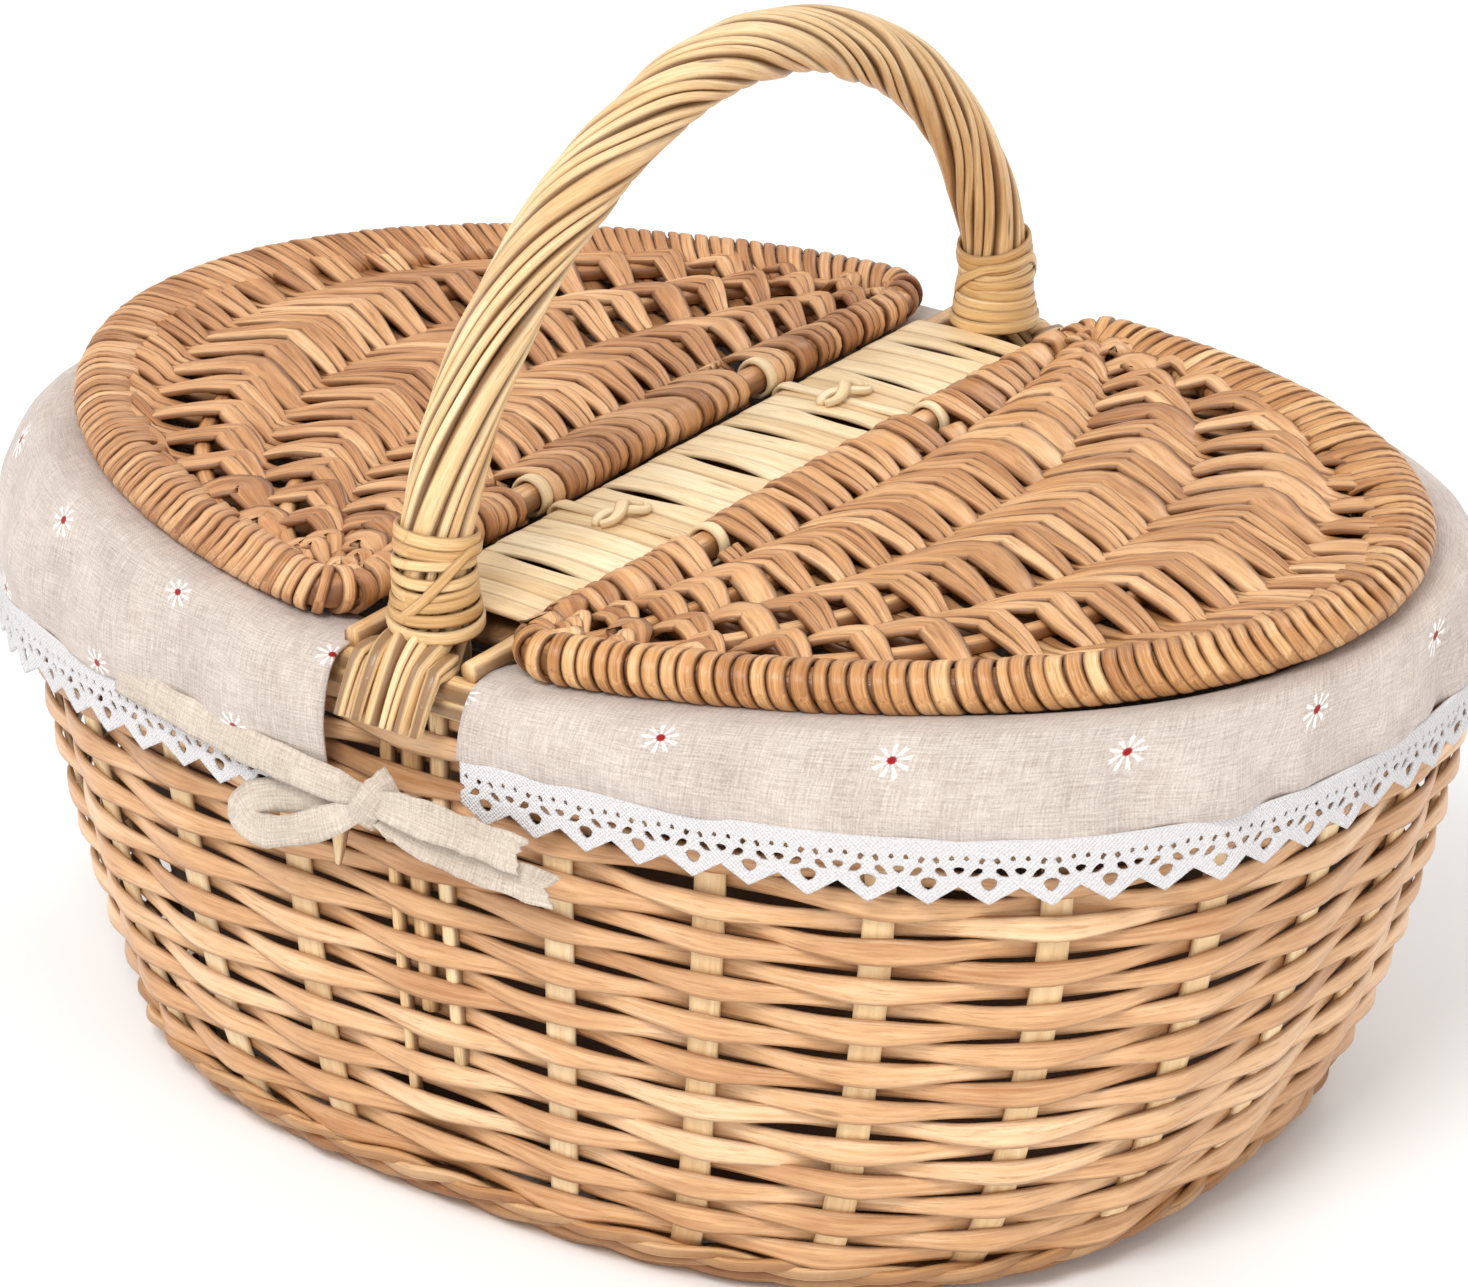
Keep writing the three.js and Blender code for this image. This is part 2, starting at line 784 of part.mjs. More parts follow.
// The left skirt hangs lower than the right one and stands out further at its end.
function linerSkirt(side) {
  const drop = side < 0 ? SKIRT_DROP_LEFT : SKIRT_DROP_RIGHT;
  const reach = side < 0 ? SKIRT_REACH_LEFT : SKIRT_REACH_RIGHT;
  const top = RIM_TOP + GAP + SKIRT_THICKNESS / 2;
  const line = [
    { a: RIM_A - 15, b: BAG_RIM_B, z: BAG_TOP + 1 },
    { a: RIM_A - 11, b: RIM_B - 11, z: top },
    { a: RIM_A - 1, b: RIM_B - 1, z: top },
    { a: RIM_A + 0.75 * reach, b: RIM_B + 5, z: top - 5 },
    { a: RIM_A + reach, b: RIM_B + 7.5, z: top - 13 - drop / 2 },
    { a: RIM_A + 0.75 * reach, b: RIM_B + 6, z: top - 22.5 - drop },
  ];
  return clothBand(line, SKIRT_THICKNESS, side);
}

function laceBand(side) {
  const drop = side < 0 ? SKIRT_DROP_LEFT : SKIRT_DROP_RIGHT;
  const reach = side < 0 ? SKIRT_REACH_LEFT : SKIRT_REACH_RIGHT;
  const top = RIM_TOP - 23 - drop;
  const line = [
    { a: RIM_A + 0.75 * reach - 0.3, b: RIM_B + 5.8, z: top },
    { a: RIM_A + 0.5 * reach, b: RIM_B + 4.5, z: top - 18 },
  ];
  return clothBand(line, LACE_THICKNESS, side);
}

function addLiner() {
  addPiece("liner_bag", linerBag(), COLORS.liner);
  addPiece("liner_skirt_left", linerSkirt(-1), COLORS.liner);
  addPiece("liner_skirt_right", linerSkirt(1), COLORS.liner);
  addPiece("lace_left", laceBand(-1), COLORS.lace);
  addPiece("lace_right", laceBand(1), COLORS.lace);
}

// One loop to the left of the knot and two tails to its right.
function ribbonBow() {
  const loop = new THREE.Shape();
  loop.absellipse(-24, KNOT_Z - 7, 22, 8, 0, 2 * Math.PI, false, 0.3);
  const eye = new THREE.Path();
  eye.absellipse(-24, KNOT_Z - 7, 16, 3, 0, 2 * Math.PI, true, 0.3);
  loop.holes.push(eye);
  const knot = new THREE.Shape();
  knot.absarc(0, KNOT_Z, 7, 0, 2 * Math.PI, false);
  const tail = (drop) =>
    polygon([
      [2, KNOT_Z + 4],
      [2, KNOT_Z - 4],
      [42, KNOT_Z - drop - 4],
      [44, KNOT_Z - drop + 4],
    ]);
  const parts = [loop, knot, tail(10), tail(20)];
  const solids = parts.map((shape) => toManifold(alongY(shape, -RIBBON_Y, RIBBON_THICKNESS)));
  return fromManifold(solids.reduce((whole, next) => whole.add(next)));
}

function addRibbons() {
  addPiece("ribbon_near", ribbonBow(), COLORS.ribbon);
  addPiece("ribbon_far", ribbonBow().rotateZ(Math.PI), COLORS.ribbon);
}

// ---- Basket ----------------------------------------------------------------------

function addBody() {
  const middle = bodyOval(WALL_TOP / 2, -WALL_THICKNESS / 2);
  const places = evenAngles(STAKE_PLACES, middle);
  const stakeAngles = places.filter((_, k) => k % (STAKE_PLACES / 2) !== 0);
  addPiece("base_weave", baseWeave(), COLORS.foot);
  addPiece("foot_border", footBorder(), COLORS.foot);
  addPiece("wall_weave", wallWeave(stakeAngles), COLORS.wall);
  stakeAngles.forEach((angle, i) => {
    const stake = stakeBar(
      angle,
      STAKE_BOTTOM + GAP,
      WALL_TOP - GAP,
      STAKE_WIDTH,
      STAKE_THICKNESS,
    );
    addPiece(`stake_${String(i + 1).padStart(2, "0")}`, stake, COLORS.stake);
  });
  addPiece("rim_border", rimBorder(), COLORS.wall);
}

addBody();
addHandle();
addBar();
addLid("lid_left", -1);
addLid("lid_right", 1);
addLiner();
addRibbons();

export default basket;
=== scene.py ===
"""A wicker picnic basket: woven willow body, two hinged lids, twisted handle and a cloth
liner edged with lace. Lengths here are millimetres, and mesh_object() turns them into
metres."""

import json
import math

import bpy
import numpy as np
from mathutils import Euler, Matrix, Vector


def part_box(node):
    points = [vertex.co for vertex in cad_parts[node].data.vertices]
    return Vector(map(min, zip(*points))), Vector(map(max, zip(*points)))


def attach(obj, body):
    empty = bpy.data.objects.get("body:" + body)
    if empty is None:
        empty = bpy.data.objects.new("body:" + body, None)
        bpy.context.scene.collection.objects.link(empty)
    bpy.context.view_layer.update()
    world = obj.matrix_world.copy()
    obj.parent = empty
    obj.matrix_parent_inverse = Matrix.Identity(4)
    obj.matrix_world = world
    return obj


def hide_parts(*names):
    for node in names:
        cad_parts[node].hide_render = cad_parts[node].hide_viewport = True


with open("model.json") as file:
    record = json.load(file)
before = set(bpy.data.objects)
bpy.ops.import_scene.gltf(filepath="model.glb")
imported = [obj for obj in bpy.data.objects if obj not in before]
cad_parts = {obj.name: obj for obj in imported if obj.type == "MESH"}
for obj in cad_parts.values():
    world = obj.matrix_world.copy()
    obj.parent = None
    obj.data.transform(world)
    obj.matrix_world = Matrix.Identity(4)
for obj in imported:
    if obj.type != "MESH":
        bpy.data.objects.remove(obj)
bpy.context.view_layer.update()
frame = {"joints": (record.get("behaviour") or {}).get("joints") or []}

MM = 0.001
UP = np.array([0.0, 0.0, 1.0])


def span(node):
    low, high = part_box(node)
    return np.array(low) / MM, np.array(high) / MM


# ---- Sizes, from the frame ----

RIM_A, RIM_B, RIM_TOP = span("rim_border")[1]
WALL_LOW, WALL_HIGH = span("wall_weave")
WALL_BOTTOM, WALL_TOP = WALL_LOW[2], WALL_HIGH[2]
BAR_LOW, BAR_HIGH = span("bar_wrap")
BAR_MIDDLE = (BAR_HIGH[2] + BAR_LOW[2]) / 2
BOARD_HIGH = span("bar_board")[1]
BAG_LOW, BAG_HIGH = span("liner_bag")
LACE_MIDDLE = (span("lace_left")[0][2] + span("lace_right")[0][2]) / 2
HEM_TOP = RIM_TOP - 23.0

FOOT_A, FOOT_B = 145.0, 125.0
FLARE_HEIGHT = 128.0
FLARE_POWER = 0.42
OVAL_POWER = 2.7
RIM_OVAL_POWER = 2.35
ROUNDER_FROM = 110.0
WALL_MIDDLE = -4.0
PLACES = 26
ROWS = 23

CORE_HIGH = span("handle_core")[1]
CORE_RADIUS = CORE_HIGH[0]
HANDLE_HALF = CORE_HIGH[1] - CORE_RADIUS
HANDLE_SPRING = 179.0
HANDLE_RISE = CORE_HIGH[2] - CORE_RADIUS - HANDLE_SPRING
HANDLE_POWER = 1.86
ROD_COUNT = 8
ROD_RING = 6.85
ROD_TURNS = 2.25
TWIST_EASE = 0.06
WRAP_BOTTOM = 170.0
WRAP_TURNS = 8
FAN_SPREAD = 0.86

HINGE = np.array(frame["joints"][1]["pos_m"]) / MM
HINGE_X, LID_Z = abs(HINGE[0]), HINGE[2]
HINGE_Y = sum(corner[1] for corner in span("hinge_tie_far")) / 2
HINGE_ROD_RADIUS = 3.9
BORDER_RADIUS = 6.7
BORDER_A, BORDER_B = 191.0, 135.0
LID_TILT = math.radians(2.0)


# ---- Lines ----


def xyz(x, y, z):
    return np.stack(np.broadcast_arrays(x, y, z), -1).astype(float)


def unit(vectors):
    return vectors / np.linalg.norm(vectors, axis=-1, keepdims=True)


def signed_power(values, power):
    return np.sign(values) * np.abs(values) ** power


def once_round(count):
    return 2 * math.pi * np.arange(count) / count


def slopes(path, closed=False):
    if closed:
        return unit(np.roll(path, -1, 0) - np.roll(path, 1, 0))
    return unit(np.gradient(path, axis=0))


def arc_lengths(points):
    steps = np.linalg.norm(np.diff(points, axis=0), axis=1)
    return np.concatenate([[0.0], np.cumsum(steps)])


def along_line(line, lengths, at):
    return np.stack([np.interp(at, lengths, line[:, i]) for i in range(3)], -1)


def curve(start, middle, end, share):
    """Points on the bend from start towards middle and round to end."""
    return (1 - share) ** 2 * start + 2 * share * (1 - share) * middle + share**2 * end


def softened(line, times):
    """An open line with its bends rounded off."""
    for _ in range(times):
        line[1:-1] = (line[:-2] + 2 * line[1:-1] + line[2:]) / 4
    return line


def wander(rng, count, waves, closed=False):
    """A smooth random line between about -1 and 1, with that many waves along it."""
    t = np.arange(count) / (count if closed else count - 1)
    total = np.zeros(count)
    for octave in (1.0, 1.7, 2.6):
        turns = waves * octave
        turns = round(turns) if closed else turns
        total += np.sin(2 * math.pi * (turns * t + rng.random())) / octave
    return total / 1.6


# ---- Meshes ----


def link(name, data):
    thing = bpy.data.objects.new(name, data)
    bpy.context.scene.collection.objects.link(thing)
    return thing


def mesh_object(name, points, faces, coords, coord_name="cloth"):
    mesh = bpy.data.meshes.new(name)
    mesh.from_pydata((np.asarray(points) * MM).tolist(), [], faces)
    mesh.polygons.foreach_set("use_smooth", [True] * len(mesh.polygons))
    layer = mesh.attributes.new(coord_name, "FLOAT_VECTOR", "POINT")
    layer.data.foreach_set("vector", np.asarray(coords, np.float32).ravel())
    mesh.update()
    return link(name, mesh)


def settle(piece, material, nodes=(), body="basket"):
    piece.data.materials.append(material)
    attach(piece, body)
    if nodes:
        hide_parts(*nodes)


def grid_faces(rows, columns, first=0):
    """Faces between the points of a grid whose points are numbered row by row."""
    index = np.arange(rows * columns).reshape(rows, columns) + first
    quads = np.stack([index[:-1, :-1], index[:-1, 1:], index[1:, 1:], index[1:, :-1]], -1)
    return quads.reshape(-1, 4).tolist()


class Strands:
    """Collects strands into one mesh. Each vertex keeps its distance along its strand,
    its share of the way round it and the strand's own random number."""

    def __init__(self):
        self.points = []
        self.faces = []
        self.grain = []
        self.count = 0

    def add(self, path, out, width, thick, seed, closed=False, sides=8, power=2.4):
        """Adds a strand along a path, width across and thick in the direction out."""
        path = np.asarray(path, float)
        count = len(path)
        tangent = slopes(path, closed)
        across = unit(np.cross(tangent, np.broadcast_to(out, path.shape)))
        out = np.cross(across, tangent)
        angle = 2 * math.pi * (np.arange(sides) + 0.5) / sides
        half_width, half_thick = (np.broadcast_to(size, count)[:, None] / 2 for size in (width, thick))
        x = half_width * signed_power(np.cos(angle), 2 / power)
        y = half_thick * signed_power(np.sin(angle), 2 / power)
        ring = across[:, None] * x[..., None] + out[:, None] * y[..., None]
        self.points.append((path[:, None] + ring).reshape(-1, 3))
        round_share = np.minimum(angle, 2 * math.pi - angle) / math.pi
        self.grain.append(xyz(arc_lengths(path)[:, None], round_share[None], seed).reshape(-1, 3))
        self.join(count, sides, closed)

    def join(self, count, sides, closed):
        rows = count if closed else count - 1
        i = np.arange(rows)[:, None] * sides
        i_next = ((np.arange(rows) + 1) % count)[:, None] * sides
        j = np.arange(sides)[None]
        j_next = (j + 1) % sides
        quads = np.stack([i + j, i + j_next, i_next + j_next, i_next + j], -1)
        self.faces.extend((quads.reshape(-1, 4) + self.count).tolist())
        if not closed:
            first = self.count + np.arange(sides)
            self.faces.append(first[::-1].tolist())
            self.faces.append((first + (count - 1) * sides).tolist())
        self.count += count * sides

    def build(self, name, material, slot, nodes=(), body="basket"):
        grain = np.concatenate(self.grain)
        piece = mesh_object(name, np.concatenate(self.points), self.faces, grain, "grain")
        settle(piece, material, nodes, body)


# ---- Materials ----


def linear(color):
    """An sRGB colour in 0 to 255, as the linear values that shaders use."""
    share = np.array(color) / 255
    curved = ((share + 0.055) / 1.055) ** 2.4
    return (*np.where(share <= 0.04045, share / 12.92, curved).tolist(), 1.0)


class Value:
    """A node's output. It takes part in formulas, each of which adds a maths node."""

    def __init__(self, shader, socket):
        self.shader = shader
        self.socket = socket

    def __add__(self, other):
        return self.shader.math("ADD", self, other)

    def __sub__(self, other):
        return self.shader.math("SUBTRACT", self, other)

    def __rsub__(self, other):
        return self.shader.math("SUBTRACT", other, self)

    def __mul__(self, other):
        return self.shader.math("MULTIPLY", self, other)

    def __truediv__(self, other):
        return self.shader.math("DIVIDE", self, other)


class Shader:
    """A node material with short calls for the nodes that these materials share. Colours
    are sRGB triples."""

    def __init__(self, name):
        self.material = bpy.data.materials.new(name)
        self.material.use_nodes = True
        self.tree = self.material.node_tree
        self.surface = self.tree.nodes["Principled BSDF"]

    def put(self, value, socket):
        if isinstance(value, Value):
            self.tree.links.new(value.socket, socket)
        else:
            socket.default_value = linear(value) if isinstance(value, tuple) else value

    def node(self, kind, inputs, output=0, **settings):
        node = self.tree.nodes.new(kind)
        for key, value in settings.items():
            setattr(node, key, value)
        for key, value in inputs.items():
            self.put(value, node.inputs[key])
        return Value(self, node.outputs[output])

    def math(self, operation, a, b=0.0):
        return self.node("ShaderNodeMath", {0: a, 1: b}, operation=operation)

    def combine(self, x, y, z):
        return self.node("ShaderNodeCombineXYZ", {0: x, 1: y, 2: z})

    def split(self, vector):
        first = self.node("ShaderNodeSeparateXYZ", {0: vector})
        return [Value(self, output) for output in first.socket.node.outputs]

    def attribute(self, name):
        return self.node("ShaderNodeAttribute", {}, "Vector", attribute_name=name)

    def place(self, kind="Object"):
        return self.node("ShaderNodeTexCoord", {}, kind)

    def noise(self, vector, scale=1.0, detail=3.0, roughness=0.55):
        inputs = {"Vector": vector, "Scale": scale, "Detail": detail, "Roughness": roughness}
        return self.node("ShaderNodeTexNoise", inputs, "Fac")

    def ramp(self, factor, stops):
        color = self.node("ShaderNodeValToRGB", {0: factor})
        elements = color.socket.node.color_ramp.elements
        while len(elements) < len(stops):
            elements.new(0.5)
        for element, (position, stop) in zip(elements, stops):
            element.position = position
            element.color = linear(stop)
        return color

    def mix(self, factor, a, b):
        return self.node("ShaderNodeMix", {"Factor": factor, "A": a, "B": b}, "Result", data_type="RGBA")

    def step(self, value, low, high):
        inputs = {"Value": value, "From Min": low, "From Max": high}
        return self.node("ShaderNodeMapRange", inputs, "Result", interpolation_type="SMOOTHSTEP")

    def finish(self, color, roughness, height=None, strength=0.0, distance_mm=0.0, specular=0.5, sheen=0.0):
        """Wires up the surface. A height adds bumps of that strength and depth."""
        inputs = {"Base Color": color, "Roughness": roughness, "Specular IOR Level": specular,
                  "Sheen Weight": sheen}
        if height is not None:
            bump = {"Strength": strength, "Distance": distance_mm * MM, "Height": height}
            inputs["Normal"] = self.node("ShaderNodeBump", bump)
        for key, value in inputs.items():
            self.put(value, self.surface.inputs[key])
        return self.material


KNOT_BROWN = (104, 58, 30)
# Painted shade for the edges of willow strands, where neighbouring strands meet.
EDGE_SHADE_BROWN = (98, 52, 20)
PETAL_WHITE = (250, 247, 244)
# Painted shade for the back of the liner bag, seen through the gaps in the wall.
HEART_RED = (150, 22, 30)
BACK_SHADE_BROWN = (92, 66, 48)
THREAD_MM = 0.55
DAISY_ACROSS, DAISY_DOWN = 57.0, 30.0


def willow(name, dark, middle, light, roughness=0.46, knots=0.45, sides=0.5):
    """Peeled or split willow: fibres along the strand, a tone for each strand, slow
    changes of colour along it, thin streaks, a few small knots and painted edge shade."""
    s = Shader(name)
    along, across, seed = s.split(s.attribute("grain"))
    shift = seed * 97.0
    fibre = s.noise(s.combine(along * 0.045, across * 11.0, shift), 1.0, 5.0, 0.62)
    patch = s.noise(s.combine(along * 0.02, across, shift), 1.0, 2.0)
    tone = patch - 0.5 + (fibre - 0.5) * 1.25 + seed * 0.44 + 0.26
    color = s.ramp(tone, [(0.0, dark), (0.5, middle), (1.0, light)])
    streak = s.noise(s.combine(along * 0.11, across * 19.0, shift), 1.0, 4.0, 0.65)
    streak = s.step(streak, 0.53, 0.7) * 0.5
    color = s.mix(streak, color, dark)
    knot_place = s.combine(along * 0.016, across * 1.6, shift)
    knot = s.node("ShaderNodeTexVoronoi", {"Vector": knot_place, "Scale": 1.0}, "Distance")
    knot = 1.0 - s.step(knot, 0.03, 0.1)
    speck = s.step(s.noise(s.combine(along * 0.5, across * 16.0, shift), 1.0, 2.0), 0.66, 0.8)
    color = s.mix(knot * knots + speck * (0.3 * knots), color, KNOT_BROWN)
    # Painted shade: each strand darkens towards its two edges, as strongly as sides says, so dark lines
    # show between strands.
    side = s.step(s.math("ABSOLUTE", across - 0.5), 0.16, 0.4)
    color = s.mix(side * sides, color, EDGE_SHADE_BROWN)
    return s.finish(color, fibre * 0.22 + (roughness - 0.1), fibre - streak, 0.45, 0.5)


def linen(name, low, high, daisies=False, painted_back_shade=False):
    """A plain weave with uneven threads. It can have printed flowers, and a back painted dark
    brown as the shade seen through the wall's gaps."""
    s = Shader(name)
    coords = s.attribute("cloth")
    x, y, _ = s.split(coords)
    turn = math.pi / THREAD_MM
    threads = s.math("SINE", x * turn) * s.math("SINE", y * turn)
    slub = s.noise(s.combine(x * 0.12, y * 2.0, 0.0)) + s.noise(s.combine(x * 2.0, y * 0.12, 3.0))
    fleck = s.noise(coords, 1.6, 4.0, 0.7)
    stain = s.noise(coords, 0.05, 2.0)
    tone = (slub - 1.0) * 0.9 + fleck + (stain - 0.5) * 0.5
    color = s.ramp(tone, [(0.15, low), (0.8, high)])
    if daisies:
        petals, heart = daisy_masks(s, coords)
        color = s.mix(petals, color, PETAL_WHITE)
        color = s.mix(heart, color, HEART_RED)
    # Painted shade: the bag's outer face is coloured dark brown so the gaps in the wall look dark.
    if painted_back_shade:
        color = s.mix(facing_out(s), color, BACK_SHADE_BROWN)
    return s.finish(color, 0.92, threads * 0.25 + slub, 0.5, 0.35, specular=0.2, sheen=0.25)


def facing_out(s):
    """One where a face looks away from the basket's middle: the bag's back, which gets painted shade."""
    x, y, _ = s.split(s.place())
    normal_x, normal_y, _ = s.split(s.place("Normal"))
    return s.step(x * normal_x + y * normal_y, -0.002, 0.002)


def daisy_masks(s, coords):
    """Small printed flowers on a staggered lattice: thin white petals, a red heart."""
    x, y, _ = s.split(coords)
    row = s.math("FLOOR", y / DAISY_DOWN)
    odd = s.math("MODULO", s.math("ABSOLUTE", row), 2.0)
    shifted = x + odd * (DAISY_ACROSS / 2)
    cell = s.math("FLOOR", shifted / DAISY_ACROSS)
    jitter = s.noise(s.combine(cell, row, 5.0), 3.7, 0.0)
    local_x = shifted - cell * DAISY_ACROSS - DAISY_ACROSS / 2 + (jitter - 0.5) * 9.0
    local_y = y - row * DAISY_DOWN - DAISY_DOWN / 2
    radius = s.math("SQRT", local_x * local_x + local_y * local_y)
    angle = s.math("ARCTAN2", local_y, local_x)
    spokes = s.step(s.math("COSINE", angle * 9.0 + jitter * 20.0), 0.0, 0.7)
    length = (s.noise(coords, 0.9, 2.0) - 0.5) * 3.8 + 4.5
    petals = spokes * (1.0 - s.step(radius - length, -0.7, 0.6)) * 0.85
    return petals, 1.0 - s.step(radius, 0.9, 1.5)


def cotton_lace(name, low, high):
    s = Shader(name)
    coords = s.attribute("cloth")
    x, y, _ = s.split(coords)
    knit = s.math("SINE", x * 5.2) * s.math("SINE", y * 5.2)
    fuzz = s.noise(coords, 1.3, 4.0, 0.7)
    color = s.ramp(fuzz, [(0.25, low), (0.7, high)])
    return s.finish(color, 0.9, knit + fuzz * 2.0, 0.7, 0.35, specular=0.2, sheen=0.2)


WALL_WILLOW = willow("wall_willow", (182, 126, 78), (221, 172, 124), (246, 208, 166), 0.34, 0.45, 0.35)
STAKE_WILLOW = willow("stake_willow", (228, 186, 134), (244, 212, 164), (253, 234, 198), 0.5, 0.15, 0.0)
LEFT_WILLOW = willow("left_lid_willow", (142, 86, 44), (206, 150, 100), (246, 202, 152), 0.38, 0.4, 0.75)
RIGHT_WILLOW = willow("right_lid_willow", (150, 92, 46), (210, 156, 104), (246, 202, 152), 0.36, 0.4, 0.75)
BORDER_WILLOW = willow("border_willow", (150, 90, 42), (208, 152, 96), (244, 202, 148), 0.32, 0.3, 0.85)
WRAP_WILLOW = willow("wrap_willow", (188, 138, 82), (224, 182, 124), (246, 216, 166), 0.34, 0.25, 0.5)
# Painted shade: the bar's slat is coloured dark brown so the hollow under the skeins looks shadowed.
SLAT_SHADE_WILLOW = willow("slat_shade_willow", (96, 62, 34), (130, 90, 54), (164, 122, 80), 0.6)
HANDLE_WILLOW = willow("handle_willow", (200, 150, 96), (236, 200, 148), (254, 232, 190), 0.34, 0.8, 0.75)
SKEIN_WILLOW = willow("skein_willow", (214, 178, 128), (240, 212, 168), (253, 236, 202), 0.46, 0.4, 0.3)
FOOT_WILLOW = willow("foot_willow", (168, 110, 64), (206, 156, 104), (236, 196, 148), 0.45, 0.4, 0.5)
LINEN = linen("liner_linen", (168, 153, 143), (219, 206, 196), daisies=True)
BAG_LINEN = linen("bag_linen", (168, 153, 143), (219, 206, 196), daisies=True, painted_back_shade=True)
RIBBON = linen("ribbon_linen", (170, 154, 138), (220, 206, 190))
LACE = cotton_lace("cotton_lace", (208, 204, 204), (241, 238, 238))


# ---- Ovals of the body ----


def oval_power(z):
    """2 would be an ellipse. The body's ovals are squarer, and rounder near the rim."""
    share = np.clip((np.asarray(z, float) - ROUNDER_FROM) / (RIM_TOP - ROUNDER_FROM), 0, 1)
    return OVAL_POWER + (RIM_OVAL_POWER - OVAL_POWER) * share


def body_axes(z, offset=0.0):
    flare = np.clip(np.asarray(z, float) / FLARE_HEIGHT, 0.0, 1.0) ** FLARE_POWER
    return FOOT_A + (RIM_A - FOOT_A) * flare + offset, FOOT_B + (RIM_B - FOOT_B) * flare + offset


def oval(a, b, z, angle):
    x, y = np.cos(angle), np.sin(angle)
    power = oval_power(z)
    reach = (np.abs(x) ** power + np.abs(y) ** power) ** (-1 / power)
    return xyz(a * x * reach, b * y * reach, z)


def oval_out(a, b, angle):
    """Level outward direction of an oval."""
    x = signed_power(np.cos(angle), OVAL_POWER - 1) / a
    y = signed_power(np.sin(angle), OVAL_POWER - 1) / b
    return unit(xyz(x, y, 0.0))


def half_chord(at, a, b):
    """Half the width of a flat oval, at a distance from its middle."""
    return b * (1 - abs(at / a) ** OVAL_POWER) ** (1 / OVAL_POWER)


def place_angles(positions):
    """Angles for positions counted in places round the body. Place 0 is on +Y."""
    a, b = body_axes(WALL_TOP / 2, WALL_MIDDLE)
    samples = 7200
    fine = math.pi / 2 + 2 * math.pi * np.arange(samples + 1) / samples
    lengths = arc_lengths(oval(a, b, 0.0, fine))
    return np.interp(np.asarray(positions) / PLACES * lengths[-1], lengths, fine)


HANDLE_PLACES = (0, PLACES // 2)
STAKE_ANGLES = place_angles([k for k in range(PLACES) if k not in HANDLE_PLACES])


# ---- Body ----


def wall_rows():
    """Rows of split willow, each over one stake and under the next. A strip is broad and
    flat where it passes a stake and narrower between two."""
    rng = np.random.default_rng(11)
    strands = Strands()
    per_place = 10
    position = np.arange(PLACES * per_place) / per_place
    angle = place_angles(position)
    for row, level in enumerate(np.linspace(WALL_BOTTOM + 1.5, WALL_TOP - 1.5, ROWS)):
        swing = np.cos(math.pi * (position + row))
        depth = 0.45 * swing + 0.55 * np.arcsin(0.97 * swing) / math.asin(0.97)
        jog = np.repeat(rng.standard_normal(PLACES), per_place)
        jog = (jog + np.roll(jog, per_place // 2)) / 2
        for _ in range(2):
            jog = (np.roll(jog, 1) + 2 * jog + np.roll(jog, -1)) / 4
        rise, lean, growth = (wander(rng, len(position), waves, closed=True) for waves in (5, 15, 9))
        z = level + 0.55 * jog + 0.5 * rise
        a, b = body_axes(z, WALL_MIDDLE + 2.65 * depth)
        out = oval_out(a, b, angle) + 0.12 * lean[:, None] * UP
        height = 5.25 + 2.1 * swing**2 + 0.5 * growth
        strands.add(oval(a, b, z, angle), out, height, 1.7, rng.random(), closed=True, power=3.6)
    strands.build("wall_weavers", WALL_WILLOW, "willow_wall", ["wall_weave"])


def upright(angle, low, high, side_shift):
    z = np.linspace(low, high, 14)
    a, b = body_axes(z, WALL_MIDDLE)
    out = oval_out(a, b, angle)
    return oval(a, b, z, angle) + np.cross(UP, out) * side_shift, out


def stakes():
    rng = np.random.default_rng(12)
    strands = Strands()
    for angle in STAKE_ANGLES:
        path, out = upright(angle, WALL_BOTTOM - 5, WALL_TOP + 1.5, 0.4 * rng.standard_normal())
        width = 8.4 + 0.35 * wander(rng, len(path), 1.3)
        strands.add(path, out, width, 2.1, rng.random(), power=4.0)
    nodes = [f"stake_{i + 1:02d}" for i in range(len(STAKE_ANGLES))]
    strands.build("stakes", STAKE_WILLOW, "willow_pale", nodes)


def foot_rods():
    """Three round rod ends standing in the wall under each handle foot, and a peg."""
    rng = np.random.default_rng(13)
    strands = Strands()
    for angle in (math.pi / 2, -math.pi / 2):
        for shift, radius, low in ((-8.5, 2.4, 34.0), (-0.6, 3.7, 62.0), (8.0, 3.0, 48.0)):
            path, out = upright(angle, low, WALL_TOP + 4, shift)
            size = 2 * radius * np.linspace(0.75, 1, len(path))
            strands.add(path, out, size, np.minimum(size, 3.6), rng.random(), power=2.0)
    for turn in (1, -1):
        share = np.linspace(0, 1, 10)
        peg = xyz(-17 - 3 * share, -(RIM_B + 4.5 - 1.5 * share), 122 - 19 * share)
        size = 5.6 - 3.8 * share**2
        strands.add(peg * [turn, turn, 1], [0, -turn, 0], size, 0.7 * size, rng.random(), power=2.2)
    strands.build("handle_foot_rods", HANDLE_WILLOW, "willow_wall")


def foot_border():
    """Pairs of thin rods twisted round each other, one pair above the other."""
    rng = np.random.default_rng(14)
    strands = Strands()
    count = 330
    angle = once_round(count)
    for pair, (middle_z, inset) in enumerate(((1.9, 4.6), (5.6, 2.7), (9.6, 1.6), (4.5, 9.0))):
        for rod in range(2):
            turn = (21 + 3 * pair) * angle + math.pi * rod
            sway, rise, growth = (wander(rng, count, waves, closed=True) for waves in (11, 5, 17))
            ring = 1.35 + 0.15 * sway
            z = middle_z + 0.75 * ring * np.sin(turn) + 0.3 * rise
            a, b = body_axes(np.clip(z, 0.4, None), 0.6 - inset + ring * np.cos(turn))
            path = oval(a, b, np.clip(z, 1.7, None), angle)
            size = 3.4 + 0.4 * growth
            strands.add(path, UP, size, size, rng.random(), closed=True, sides=7, power=2.2)
    strands.build("foot_border_rods", FOOT_WILLOW, "willow_brown", ["foot_border"])


